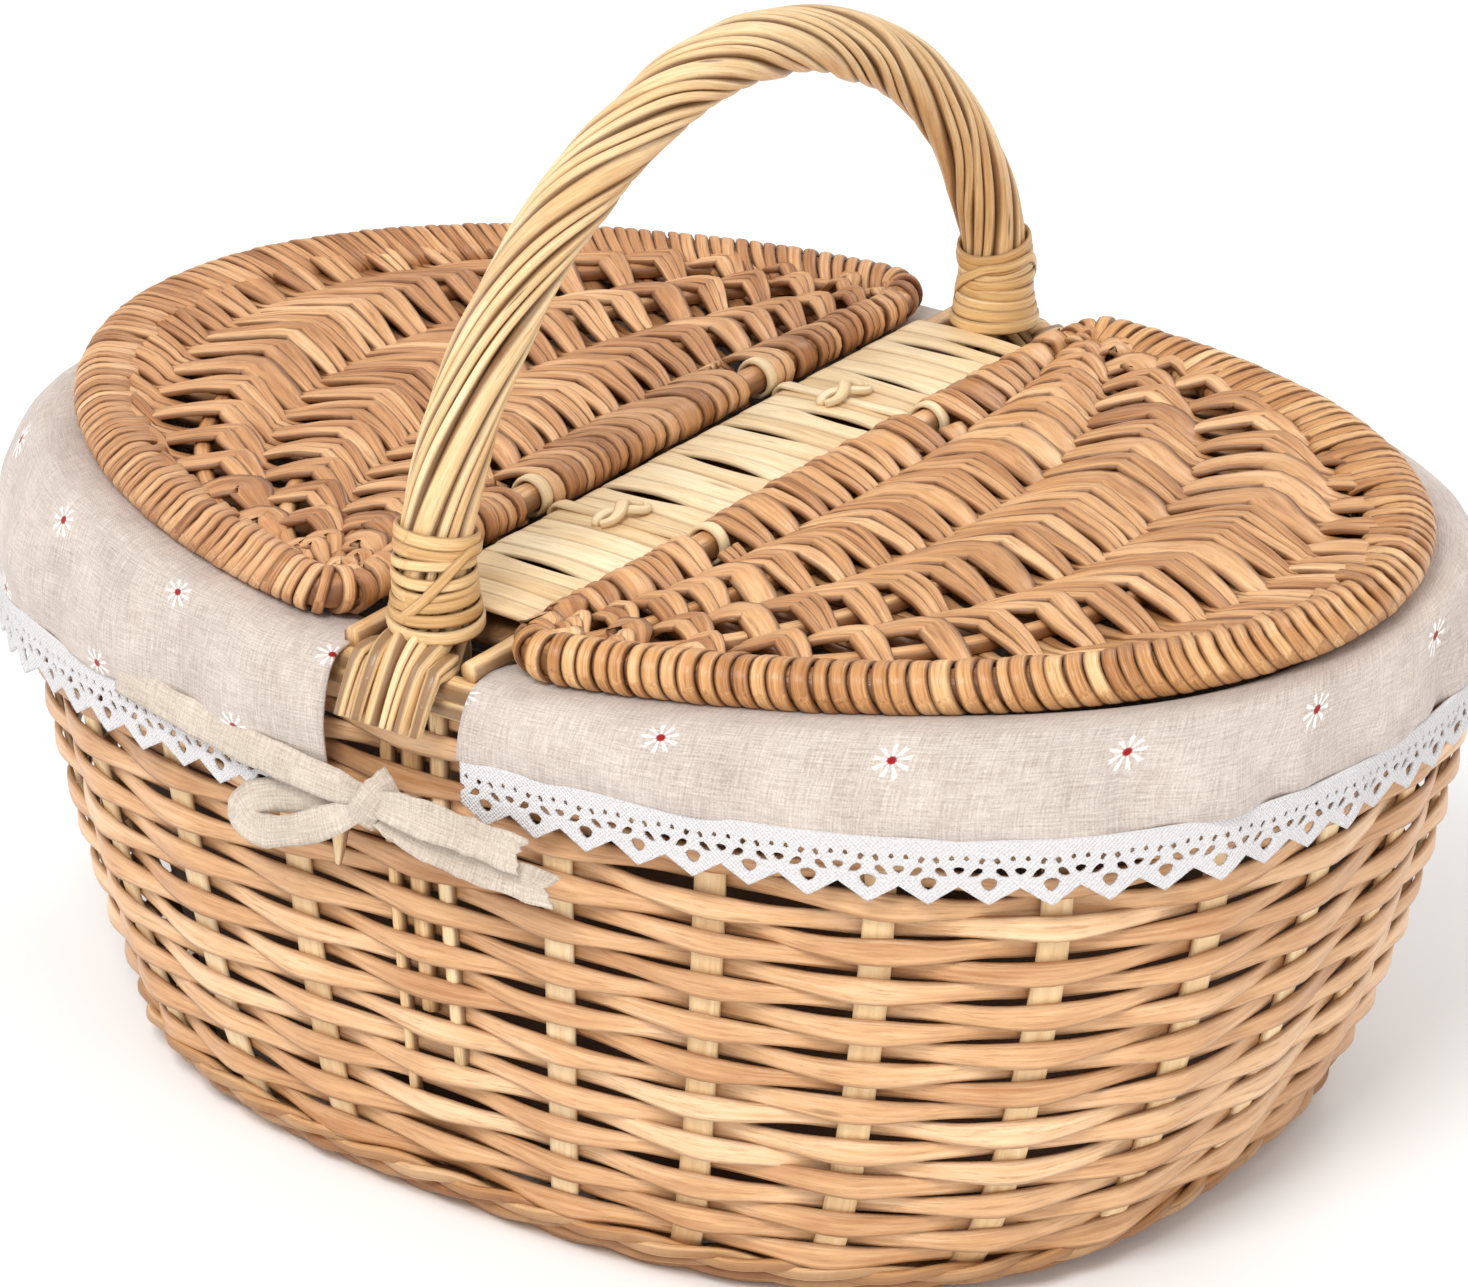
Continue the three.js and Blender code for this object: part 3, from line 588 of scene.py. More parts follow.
def base_weave():
    """Rows of willow over and under the sticks that cross the base."""
    rng = np.random.default_rng(15)
    strands = Strands()
    low, high = span("base_weave")
    a, b, middle = high[0] - 1, high[1] - 1, (low[2] + high[2]) / 2
    sticks = np.linspace(-0.82 * a, 0.82 * a, 8)
    gap = sticks[1] - sticks[0]
    for x in sticks:
        reach = half_chord(x, a, b)
        strands.add(xyz(x, np.linspace(-reach, reach, 12), middle), UP, 5.0, 2.6, rng.random(), power=2.2)
    for row, y in enumerate(np.arange(-b + 5, b - 3, 6.4)):
        reach = half_chord(y, b, a)
        count = max(12, int(reach / 4))
        x = np.linspace(-reach, reach, count)
        z = middle + 1.9 * np.cos(math.pi * ((x - sticks[0]) / gap + row))
        strands.add(xyz(x, y + 0.5 * wander(rng, count, 3), z), UP, 5.8, 2.1, rng.random())
    strands.build("base_weavers", FOOT_WILLOW, "willow_brown", ["base_weave"])


def rim_border():
    rng = np.random.default_rng(16)
    strands = Strands()
    count = 180
    for offset, drop, size in ((-4.0, 3.6, 7.0), (-3.4, 8.6, 5.6), (-8.6, 6.0, 5.0)):
        sway = 0.4 * wander(rng, count, 5, closed=True)
        path = oval(RIM_A + offset + sway, RIM_B + offset + sway, RIM_TOP - drop + sway, once_round(count))
        strands.add(path, UP, size, size, rng.random(), closed=True, sides=10, power=2.0)
    strands.build("rim_rods", HANDLE_WILLOW, "willow_wall", ["rim_border"])


# ---- Handle ----


def hoop():
    """Centre line of the handle as closely spaced points, from near foot to far foot."""
    foot = np.array([[125.0, 110.0], [127.0, 140.0], [129.0, 160.0], [130.5, 172.0]])
    t = np.linspace(0, math.pi, 181)[1:-1]
    arch_y = -HANDLE_HALF * signed_power(np.cos(t), 2 / HANDLE_POWER)
    arch_z = HANDLE_SPRING + HANDLE_RISE * np.sin(t) ** (2 / HANDLE_POWER)
    y = np.concatenate([-foot[:, 0], arch_y, foot[::-1, 0]])
    z = np.concatenate([foot[:, 1], arch_z, foot[::-1, 1]])
    return softened(xyz(0.0, y, z), 12)


HOOP = hoop()
HOOP_LENGTHS = arc_lengths(HOOP)
HOOP_SLOPES = slopes(HOOP)
HOOP_END = HOOP_LENGTHS[-1]
NEAR_HALF = slice(0, len(HOOP) // 2)
WRAP_START = np.interp(WRAP_BOTTOM, HOOP[NEAR_HALF, 2], HOOP_LENGTHS[NEAR_HALF])
SIDEWAYS = np.array([1.0, 0.0, 0.0])


def on_hoop(distance):
    """Point and outward direction of the handle's centre line."""
    slope = unit(along_line(HOOP_SLOPES, HOOP_LENGTHS, distance))
    return along_line(HOOP, HOOP_LENGTHS, distance), np.cross(SIDEWAYS, slope)


def beside_hoop(distance, radius, angle):
    point, outward = on_hoop(distance)
    radius = np.broadcast_to(radius, angle.shape)
    return point + outward * (radius * np.cos(angle))[:, None] + np.outer(radius * np.sin(angle), SIDEWAYS)


def rod_foot(side, angle):
    """Below the wrap the ring of rods opens into a flat fan that bends over the rim. The
    two innermost rods go straight down inside it."""
    a = math.atan2(math.sin(angle), math.cos(angle))
    if abs(a) > 0.75 * math.pi:
        y = np.array([129.6, 129.0, 128.0, 127.0]) + ROD_RING * math.cos(a)
        return xyz(ROD_RING * math.sin(a), side * y, np.array([164.0, 157.0, 148.0, 138.0]))
    share = np.linspace(0, 1, 13)[1:, None]
    start = np.array([HANDLE_HALF + ROD_RING, WRAP_BOTTOM])
    bend = np.array([RIM_B + 1.5, RIM_TOP + 5.0])
    end = np.array([RIM_B + 10, RIM_TOP - 12])
    ridge = curve(start, bend, end, share)
    slope = unit((1 - share) * (bend - start) + share * (end - bend))
    opened = np.minimum(0.999, share[:, 0] * 2)
    curl = ROD_RING * (1 + (FAN_SPREAD - 1) * np.minimum(1, 2 * share[:, 0])) / (1 - opened)
    back = curl * (1 - np.cos(a * (1 - opened)))
    y = ridge[:, 0] + slope[:, 1] * back
    return xyz(curl * np.sin(a * (1 - opened)), side * y, ridge[:, 1] - slope[:, 0] * back)


def twisted(share):
    """How far the rods have turned at a share of the way from wrap to wrap."""
    return ROD_TURNS * 2 * math.pi * (share - TWIST_EASE * np.sin(2 * math.pi * share))


def handle():
    rng = np.random.default_rng(21)
    core = Strands()
    point, outward = on_hoop(np.linspace(0, HOOP_END, 90))
    core.add(point, outward, 2 * CORE_RADIUS, 2 * CORE_RADIUS, 0.4, sides=10, power=2.0)
    core.build("handle_hoop", HANDLE_WILLOW, "willow_pale", ["handle_core"])
    distance = np.linspace(WRAP_START, HOOP_END - WRAP_START, 130)
    _, outward = on_hoop(distance)
    share = np.linspace(0, 1, len(distance))
    fade = np.clip(6 * np.minimum(share, 1 - share), 0, 1)
    bulge = 0.35 * wander(rng, len(share), 5)
    for rod in range(ROD_COUNT):
        start = (rod + 0.5) / ROD_COUNT * 2 * math.pi
        angle = start + twisted(share) + 0.1 * fade * wander(rng, len(share), 3)
        ring = ROD_RING + fade * (bulge + 0.4 * wander(rng, len(share), 4))
        near = rod_foot(-1, start)[::-1]
        far = rod_foot(1, start + twisted(1.0))
        path = np.concatenate([near, beside_hoop(distance, ring, angle), far])
        out = np.cos(angle)[:, None] * outward + np.outer(np.sin(angle), SIDEWAYS)
        out = np.concatenate([np.repeat(out[:1], len(near), 0), out, np.repeat(out[-1:], len(far), 0)])
        size = 5.7 + 0.4 * wander(rng, len(path), 2.5)
        size[: len(near)] *= np.linspace(0.66, 0.95, len(near))
        size[-len(far):] *= np.linspace(0.95, 0.66, len(far))
        strands = Strands()
        if rod % 3 == 1:
            strands.add(path, out, size, size * 0.9, rng.uniform(0.3, 0.8), sides=10, power=2.7)
        else:
            aside = unit(np.cross(slopes(path), out)) * (size * 0.25)[:, None]
            for way, part in ((1, rng.uniform(0.45, 0.55)), (-1, 0.52)):
                strands.add(path + way * aside, out, size * part, size * 0.78, rng.uniform(0.3, 0.8),
                            sides=10, power=2.6)
        node = f"handle_rod_{rod + 1}"
        strands.build(f"{node}_willow", HANDLE_WILLOW, "willow_pale", [node])


def handle_wraps():
    """Flat skeins wound round the rods above each foot, with one crossing turn."""
    rng = np.random.default_rng(22)
    angle = once_round(30)
    for name, start, way in (("near", WRAP_START, 1), ("far", HOOP_END - WRAP_START, -1)):
        strands = Strands()

        def wind(height, radius, width, thick):
            along = start + way * height
            path = beside_hoop(along, radius, angle)
            strands.add(path, path - on_hoop(along)[0], width, thick, rng.random(), closed=True, power=3.2)

        for turn in range(WRAP_TURNS):
            tilt = 0.55 * rng.standard_normal()
            height = 0.6 + 3.2 * turn + tilt * np.sin(angle + rng.random())
            flare = 1 + 0.17 * max(0.0, 1 - turn / 4) ** 1.5
            radius = 10.2 + 0.35 * rng.random() + 0.15 * np.sin(3 * angle + 6 * rng.random())
            wind(height, radius * flare, 3.5 + 0.25 * rng.standard_normal(), 1.15)
        wind(12 + 11 * np.clip(np.sin(angle - 0.6), -0.8, 0.8), 11.3, 2.9, 0.9)
        node = f"handle_wrap_{name}"
        strands.build(f"{node}_skein", WRAP_WILLOW, "willow_skein", [node])


# ---- Bar and hinges ----

# Places along the bar where a slit shows between two skeins.
BAR_SLITS = (111, 101, 73, 43, 19, -8, -32, -84)


def rounded_loop(half_x, low_z, high_z, corner):
    """Evenly spaced points round a rounded rectangle in X and Z."""
    turn = np.concatenate([np.linspace(quarter, quarter + 1, 10) for quarter in range(4)]) * math.pi / 2
    sign_x, sign_z = np.repeat([[1, 1], [-1, 1], [-1, -1], [1, -1]], 10, axis=0).T
    x = sign_x * (half_x - corner) + corner * np.cos(turn)
    z = sign_z * ((high_z - low_z) / 2 - corner) + corner * np.sin(turn) + (low_z + high_z) / 2
    line = xyz(x, 0.0, z)
    line = np.concatenate([line, line[:1]])
    lengths = arc_lengths(line)
    return along_line(line, lengths, np.linspace(0, lengths[-1], 65)[:-1])


def loop_out(loop):
    """Outward directions of a loop in X and Z."""
    return np.cross(slopes(loop, True), [0.0, 1.0, 0.0])


def bar():
    """Broad skeins wound across two edge rods over a hollow middle. Here and there a gap
    between two of them shows the slat below, whose dark colour is painted shade."""
    rng = np.random.default_rng(31)
    board = Strands()
    y = np.linspace(BAR_LOW[1] - 2, BAR_HIGH[1] + 2, 20)
    board.add(xyz(0.0, y, BAR_LOW[2] + 2.6), UP, 2 * BAR_HIGH[0] - 8, 2.4, 0.5, sides=12, power=6.0)
    # The slat's dark colour is painted shade of the hollow under the skeins.
    board.build("bar_slat", SLAT_SHADE_WILLOW, "willow_pale", ["bar_board"])
    rods = Strands()
    y = np.linspace(-BOARD_HIGH[1] - 1.5, BOARD_HIGH[1] + 1.5, 40)
    for side in (-1, 1):
        x = side * (BOARD_HIGH[0] - 2.4 + 0.3 * wander(rng, 40, 2))
        z = BAR_MIDDLE - 0.2 + 0.3 * wander(rng, 40, 2)
        rods.add(xyz(x, y, z), UP, 5.6, 5.6, rng.random(), power=2.2)
    rods.build("bar_edge_rods", HANDLE_WILLOW, "willow_pale")
    seams = [BAR_LOW[1]]
    while seams[-1] < BAR_HIGH[1] - 8:
        seams.append(seams[-1] + rng.uniform(6.5, 10.5))
    seams[-1] = BAR_HIGH[1]
    slits = np.zeros(len(seams))
    for y in BAR_SLITS:
        slits[np.abs(np.array(seams) - y).argmin()] = rng.uniform(1.5, 2.2)
    places = 0.3 * rng.standard_normal(len(seams))
    leans = 0.9 * rng.standard_normal(len(seams))
    loop = rounded_loop(BAR_HIGH[0] - 0.5, BAR_LOW[2] + 0.6, BAR_HIGH[2] - 0.9, 3.4)
    share = loop[:, 0] / BAR_HIGH[0]
    on_top = loop[:, 2] > BAR_MIDDLE
    wraps = Strands()
    for turn in range(len(seams) - 1):
        edges = []
        for end, way in ((turn, 1), (turn + 1, -1)):
            lens = np.clip(1 - ((share - places[end]) / 0.72) ** 2, 0, 1) * on_top
            edges.append(seams[end] + leans[end] * share + way * (slits[end] * lens - 0.1))
        rise = (0.9 * np.cos(share * math.pi / 2) + 0.3 * rng.random()) * on_top
        path = xyz(loop[:, 0], (edges[0] + edges[1]) / 2, loop[:, 2] + rise)
        width = edges[1] - edges[0]
        wraps.add(path, loop_out(path), width, 1.3, rng.random(), closed=True, sides=10, power=4.5)
    wraps.build("bar_skeins", SKEIN_WILLOW, "willow_skein", ["bar_wrap"])


def hinges():
    """A knotted tie round the bar at each hinge place, and a loop for each lid's rod."""
    rng = np.random.default_rng(32)
    angle = once_round(24)
    direction = xyz(np.cos(angle), 0.0, np.sin(angle))
    t = np.linspace(-1, 1, 16)
    for end, y in (("near", -HINGE_Y), ("far", HINGE_Y)):
        tie = Strands()
        loop = rounded_loop(BAR_HIGH[0] + 0.7, BAR_LOW[2] - 0.7, BAR_HIGH[2] + 0.9, 3.0) + [0, y, 0]
        tie.add(loop, loop_out(loop), 5.2, 1.2, rng.random(), closed=True)
        for lean, lift in ((1, 1.8), (-1, 3.2)):
            x = lean * 2.4 * np.sin(2.8 * t) + 1.5 * t
            z = BAR_HIGH[2] + 1.4 + lift * np.exp(-2.2 * t * t)
            tie.add(xyz(x, y + 1.0 + 8.5 * t, z), UP, 3.6 - 1.2 * t * t, 2.2, rng.random())
        name = f"hinge_tie_{end}"
        tie.build(f"{name}_skein", SKEIN_WILLOW, "willow_skein", [name])
        for side, label in ((-1, "left"), (1, "right")):
            ring = Strands()
            path = [side * HINGE_X, y, LID_Z] + 5.1 * direction
            ring.add(path, direction, 4.6, 1.5, rng.random(), closed=True)
            node = f"hinge_loop_{label}_{end}"
            ring.build(f"{node}_skein", SKEIN_WILLOW, "willow_pale", [node])


# ---- Lids ----

STICK_SHARES = (0.2, 0.44, 0.71)
LID_ROW_PITCH = 5.7
# A row's height at the hinge rod, the three sticks and the border, and its sway along the
# hinge at each of them and halfway between.
FLOAT_REACH = (5.0, 3.7, 3.7, 3.7, 2.4)
ZIGZAG = (0.0, -2.0, 4.2, -2.6, 6.4, -2.6, 7.2, -2.6, 3.5)
FAN_PULL = 100.0
CURL_RADIUS = 5.0


def build_on_lid(strands, lid_name, part, side, material, nodes=()):
    """Turns a lid's strands up about its hinge, to where the closed lid rests, and
    builds them."""
    for points in strands.points:
        x = side * points[:, 0] - HINGE_X
        z = points[:, 2] - LID_Z
        points[:, 0] = side * (HINGE_X + x * math.cos(LID_TILT) - z * math.sin(LID_TILT))
        points[:, 2] = LID_Z + x * math.sin(LID_TILT) + z * math.cos(LID_TILT)
    strands.build(f"{lid_name}_{part}", material, "willow_lid", nodes, lid_name)


def border_line(side):
    """Centre line of a lid's border: a half oval whose ends bend in to the hinge rod."""
    end = math.acos((HINGE_X + 9) / BORDER_A)
    angle = np.linspace(-end, end, 140)
    points = xyz(BORDER_A * np.cos(angle), BORDER_B * np.sin(angle), LID_Z)
    top = points[-1]
    corner = np.array([HINGE_X + 1.6, top[1] - 0.4, LID_Z])
    inner = np.array([HINGE_X + 1.6, top[1] - 8.5, LID_Z])
    turn = curve(top, corner, inner, np.linspace(0, 1, 9)[1:, None])
    return np.concatenate([turn[::-1] * [1, -1, 1], points, turn]) * [side, 1, 1]


def lid_border(name, side, looks, rng):
    """Skeins wound round the border rod. On its inside they reach over the weave."""
    line = border_line(side)
    lengths = arc_lengths(line)
    core = Strands()
    core.add(line, UP, 9.6, 9.6, 0.2, sides=10, power=2.0)
    build_on_lid(core, name, "frame_rod", side, looks["weave"], [f"{name}_hinge_rod"])
    strands = Strands()
    angle = once_round(22)
    rounds, climbs = np.cos(angle), np.sin(angle)
    centre = looks["pitch"] / 2
    while centre < lengths[-1]:
        edge = min(centre, lengths[-1] - centre)
        slant = np.interp(centre / lengths[-1], (0, 0.25, 0.5, 0.75, 1), looks["slant"])
        slant = slant * min(1.0, edge / 40)
        pitch = looks["pitch"] * (1 + 0.12 * rng.standard_normal())
        reach = min(edge * 0.12 + 4.6, rng.uniform(*looks["reach"]))
        radius = min(5.7, 4.6 + edge * 0.12) + 0.35 * rng.random()
        radial = np.where(rounds > 0, radius, reach) * rounds
        rise = radius * climbs * (1 - 0.25 * np.clip(-rounds, 0, 1))
        point = along_line(line, lengths, np.clip(centre - slant * np.cos(angle - 0.9), 0, lengths[-1]))
        tangent = unit(along_line(line, lengths, centre + 1) - along_line(line, lengths, centre - 1))
        outward = np.cross(tangent, UP) * side
        path = point + radial[:, None] * outward + rise[:, None] * UP
        facing = rounds[:, None] * outward + climbs[:, None] * UP
        width = pitch * (0.98 - 0.12 * rng.random())
        strands.add(path, facing, width, 1.7, rng.random(), closed=True, power=2.7)
        centre += pitch
    build_on_lid(strands, name, "border_skeins", side, looks["border"], [f"{name}_border"])


def lid_sticks(name, side, looks, rng):
    """The hinge rod and the three sticks that curve from corner to corner."""
    strands = Strands()
    reach = BORDER_B * math.sqrt(1 - (HINGE_X / BORDER_A) ** 2) - BORDER_RADIUS + 1
    y = np.linspace(-reach, reach, 70)
    size = 2 * HINGE_ROD_RADIUS
    strands.add(xyz(side * HINGE_X, y, LID_Z), UP, size, size, rng.random(), sides=12, power=2.0)
    border_x = BORDER_A * np.sqrt(1 - (y / BORDER_B) ** 2)
    for share in STICK_SHARES:
        x = HINGE_X + (border_x - HINGE_X) * share
        strands.add(xyz(side * x, y, LID_Z), UP, 5.2, 4.6, rng.random(), power=2.0)
    build_on_lid(strands, name, "sticks", side, looks["weave"])


def lid_row(row, y0):
    """One row's line from the hinge rod to the border, over one stick and under the next,
    how near each point is to a stick, and its facing."""
    u = y0 / BORDER_B
    end_y = y0 + FAN_PULL * u * abs(u) * (1 - abs(u))
    length = BORDER_A * math.sqrt(1 - min(0.999, abs(end_y / BORDER_B)) ** 2) - 1 - HINGE_X
    stages = np.linspace(0, 4, 57)
    share = np.interp(stages, range(5), [0.0, *STICK_SHARES, 1.0])
    x = HINGE_X + length * share
    y = y0 + (end_y - y0) * share + min(1.0, length / 110) * np.interp(stages * 2, range(9), ZIGZAG)
    swing = np.cos(math.pi * (stages + row))
    z = np.interp(stages, range(5), FLOAT_REACH) * signed_power(swing, 0.8)
    curl = np.radians([-70, -110, -150, 175, 150, 125] if row % 2 == 0 else [-110])
    curl_out = xyz(np.cos(curl), 0.0, np.sin(curl))
    start = np.array([HINGE_X, y[0], 0.0]) + CURL_RADIUS * curl_out
    path = np.concatenate([start, xyz(x, y, z)]) + LID_Z * UP
    near_stick = np.concatenate([np.ones(len(curl)), np.abs(swing)])
    return path, near_stick, np.concatenate([curl_out, np.tile(UP, (len(x), 1))])


def lid_weave(name, side, looks, rng):
    """Rows of one broad, two narrow or three thin skeins, wide where they pass a stick."""
    strands = Strands()
    for row, y0 in enumerate(np.arange(-BORDER_B + 11, BORDER_B - 10, LID_ROW_PITCH)):
        path, near_stick, facing = lid_row(row, y0)
        if path[-1][0] - HINGE_X < 14:
            continue
        if min(abs(y0 - HINGE_Y), abs(y0 + HINGE_Y)) < 5.2:
            path, near_stick, facing = path[-52:], near_stick[-52:], facing[-52:]
        count = len(path)
        path[:, 1] += 0.7 * wander(rng, count, 2.5)
        path[:, 2] += 0.3 * wander(rng, count, 5)
        loose = looks["loose"](path)
        spread = 1 + 0.16 * np.linspace(0, 1, count)
        full = (5.75 - 1.1 * loose) * spread
        neck = (3.9 - 0.9 * loose) * spread
        size = neck + (full - neck) * near_stick**1.3
        split = rng.random()
        parts = ((-0.5, 1.0), (0.5, 1.0))
        if split < looks["broad"]:
            parts = ((0.0, 2.0),)
        elif split > looks["triple"]:
            parts = ((-0.66, 0.68), (0.0, 0.68), (0.66, 0.68))
        for place, times in parts:
            tone = rng.random()
            shifted = path.copy()
            shifted[:, 1] += place * size * (1 + 0.12 * wander(rng, count, 2))
            shifted[:, 2] += 0.25 * rng.standard_normal() * near_stick
            width = times * size * (0.97 + 0.09 * wander(rng, count, 4))
            thick = 1.9 if times == 2.0 else 2.1
            strands.add(shifted * [side, 1, 1], facing * [side, 1, 1], width, thick, tone, power=3.0)
    build_on_lid(strands, name, "skeins", side, looks["weave"], [f"{name}_weave"])


# Where a lid's rows are looser and thinner.


def far_half(path):
    return 0.8 * np.clip((path[:, 1] - 15) / 50, 0, 1)


def near_edge(path):
    return 0.7 * np.clip((-path[:, 1] - 45) / 40, 0, 1) * np.clip((path[:, 0] - 50) / 40, 0, 1)


def lid(name, side, seed, looks):
    rng = np.random.default_rng(seed)
    lid_border(name, side, looks, rng)
    lid_sticks(name, side, looks, rng)
    lid_weave(name, side, looks, rng)


# ---- Cloth ----

# One entry for each side of the basket: -1 is the left, 1 the right. A fold is its
# angle, its width in radians and its height.
SKIRT_EDGE = {-1: 19.5, 1: 22.0}
SKIRT_REACH = {-1: 8.5, 1: 6.0}
SKIRT_FOLDS = {
    -1: [(-1.38, 0.045, 3.6), (-1.27, 0.04, -2.6), (-1.13, 0.06, 4.2), (-1.0, 0.045, -2.4),
         (-0.85, 0.06, 3.4), (-0.68, 0.05, -2.2), (-0.45, 0.05, 3.0), (-0.3, 0.04, -2.4),
         (0.1, 0.08, 1.5), (0.8, 0.06, 2.0), (1.25, 0.06, 2.4)],
    1: [(-1.2, 0.05, 2.0), (-0.95, 0.05, -1.5), (-0.62, 0.05, -2.2), (-0.5, 0.05, 3.8),
        (-0.4, 0.04, -2.4), (-0.12, 0.05, 2.8), (0.05, 0.04, -2.4), (0.3, 0.07, 2.6),
        (0.9, 0.07, 1.5), (1.2, 0.05, -1.5)],
}
# The skirt's section from its inner lip to its hem, as steps from the rim's top edge
# along the length, along the width and up.
SKIRT_LINE = [(-14.5, -25.5, -6.0), (-14.5, -22.0, -1.5), (-12.0, -12.0, 0.9), (-6.0, -6.0, 1.0),
              (0.0, 0.0, 0.8), (6.0, 4.0, -1.8), (10.5, 6.5, -7.0), (12.5, 7.6, -14.0),
              (11.0, 7.0, -19.0), (8.2, 6.2, -22.6)]
SKIRT_LINE_REACH = 12.5
LACE_PITCH = 14.6
LACE_DEPTH = 17.0
TOOTH_DEPTH = 4.8


def thicken(piece, thickness):
    solid = piece.modifiers.new("thickness", "SOLIDIFY")
    solid.thickness = thickness * MM
    solid.offset = 0


def cloth_grid(name, points, coords, thickness):
    """A grid of points as cloth of that thickness. coords are millimetres on the cloth."""
    faces = grid_faces(*points.shape[:2])
    piece = mesh_object(name, points.reshape(-1, 3), faces, coords.reshape(-1, 3))
    thicken(piece, thickness)
    return piece


def smooth_line(points, count):
    """Evenly spaced points on a smooth line through a few given ones."""
    points = np.array(points, float)
    line = along_line(points, np.arange(len(points)), np.linspace(0, len(points) - 1, count))
    return softened(line, int(count / len(points)) + 2)


def skirt_angles(side, count):
    end = math.acos(SKIRT_EDGE[side] / RIM_A)
    return np.linspace(-end, end, count)


def skirt_drop(side):
    """How much lower than the middle height this side's hem hangs."""
    return LACE_MIDDLE - span("lace_left" if side < 0 else "lace_right")[0][2]


def liner_skirt(name, side, seed):
    """Cloth folded over the rim from one handle foot to the other, with soft folds. It is
    a grid with its levels down the cloth and its angles round the rim."""
    rng = np.random.default_rng(seed)
    count, levels = 260, 44
    angle = skirt_angles(side, count)
    folds = 1.7 * wander(rng, count, 7) + 1.0 * wander(rng, count, 17)
    sideways = wander(rng, count, 6)
    level = np.arange(levels)[:, None]
    height = level / (levels - 1)
    loose = np.clip((level - 16) / 14, 0, 1)
    lowered = skirt_drop(side) * np.clip((level - 24) / (levels - 25), 0, 1) ** 1.2
    line = smooth_line(SKIRT_LINE, levels)
    along, across, rise = line.T[..., None]
    along = np.where(along > 0, along * SKIRT_REACH[side] / SKIRT_LINE_REACH, along)
    creases = 0.0
    for at, width, tall in SKIRT_FOLDS[side]:
        creases = creases + tall * np.exp(-(((angle - at - 0.1 * (height - 0.5)) / width) ** 2))
    belly = np.sin(math.pi * np.minimum(1, height * 0.92 + 0.08))
    swell = np.clip(loose * (folds * belly + creases * (1.15 - 0.75 * height)), -2.5, None)
    swell = swell + 0.35 * loose * np.sin(angle * 37 + 2.5 * sideways + level * 0.16)
    lift = 0.85 * math.sin(LID_TILT) * np.clip(RIM_A * np.cos(angle) - HINGE_X, 0, None)
    lift = (lift + 2.6 * np.sin(2 * angle) ** 2) * np.clip(1.5 - abs(level - 12) / 10, 0, 1)
    z = RIM_TOP + rise - lowered + 0.3 * sideways * loose + lift
    slide = 0.0125 * (height - 0.6) * sideways * loose
    points = oval(RIM_A + along + swell, RIM_B + across + 0.75 * swell, z, angle + slide)
    widths = np.array([arc_lengths(row) for row in points])
    down = arc_lengths(line) + lowered[:, 0]
    coords = xyz(widths + 400 * (side + 1), down[:, None] + 8, 0.0)
    piece = cloth_grid(f"{name}_linen", points * [side, 1, 1], coords, 0.9)
    settle(piece, LINEN, [name])
    down[-1] * MM


def liner_bag():
    """The liner's bag, hanging loosely inside the wall."""
    rng = np.random.default_rng(51)
    count, levels, rings = 200, 26, 12
    angle = 2 * math.pi * np.arange(count + 1) / count
    folds = wander(rng, count, 13, closed=True)
    folds = np.append(folds, folds[0])
    low, high = BAG_LOW[2] + 0.8, BAG_HIGH[2] - 0.5
    share = np.linspace(0, 1, levels)[:, None]
    z = low + (high - low) * share
    pull = 1.4 * (folds - 1) * np.sin(math.pi * share)
    wall = oval(body_axes(z)[0] - 13.2 + pull, 109.8 + 6 * z / BAG_HIGH[2] + pull, z, angle)
    inward = 1 - np.arange(rings, 0, -1)[:, None] / (rings + 0.02)
    floor = oval((body_axes(low)[0] - 14.6) * inward, 110 * inward, low, angle)
    coords = np.concatenate([floor * [1, 1, 0], xyz(angle * 150, z, 0.0)])
    piece = cloth_grid("liner_bag_linen", np.concatenate([floor, wall]), coords, 0.8)
    settle(piece, BAG_LINEN, ["liner_bag"])


def lace_field(x, t):
    """Above zero where there is lace: a zigzag edge, and rows of small holes, each of
    which has a mirror image in the repeat."""
    field = LACE_DEPTH - TOOTH_DEPTH * abs(x / LACE_PITCH % 1.0 - 0.5) * 2 - t
    middle = LACE_PITCH / 2
    for hole_x, hole_t, half_x, half_t, turn in (
        (middle, 11.6, 1.5, 1.8, 0.0), (middle - 3.2, 8.6, 0.75, 1.9, 0.9), (0.0, 8.0, 1.1, 1.1, 0.0),
        (middle - 1.9, 5.4, 0.6, 1.1, 0.7), (1.9, 4.9, 0.55, 1.0, -0.6),
    ):
        for dx in (x - hole_x, LACE_PITCH - hole_x - x):
            dt = t - hole_t
            u = dx * math.cos(turn) + dt * math.sin(turn)
            v = dt * math.cos(turn) - dx * math.sin(turn)
            narrow = 1.25 - 0.5 * v / half_t
            field = min(field, math.hypot(u / (half_x * narrow), v / half_t) - 1)
    return field


def lace_tile():
    """One repeat of the lace, cut along the edges of its pattern."""
    columns, rows = 16, 20
    place = {(i, j): np.array([LACE_PITCH * j / columns, LACE_DEPTH * i / rows])
             for i in range(rows + 1) for j in range(columns + 1)}
    value = {key: lace_field(*point) for key, point in place.items()}
    points, faces, known = [], [], {}

    def vertex(key, position):
        if key not in known:
            known[key] = len(points)
            points.append(position)
        return known[key]

    for i in range(rows):
        for j in range(columns):
            corners = [(i, j), (i, j + 1), (i + 1, j + 1), (i + 1, j)]
            face = []
            for here, after in zip(corners, corners[1:] + corners[:1]):
                if value[here] > 0:
                    face.append(vertex(here, place[here]))
                if (value[here] > 0) != (value[after] > 0):
                    share = value[here] / (value[here] - value[after])
                    cut = place[here] + share * (place[after] - place[here])
                    face.append(vertex(tuple(sorted((here, after))), cut))
            if len(face) > 2:
                faces.append(face)
    return np.array(points), faces


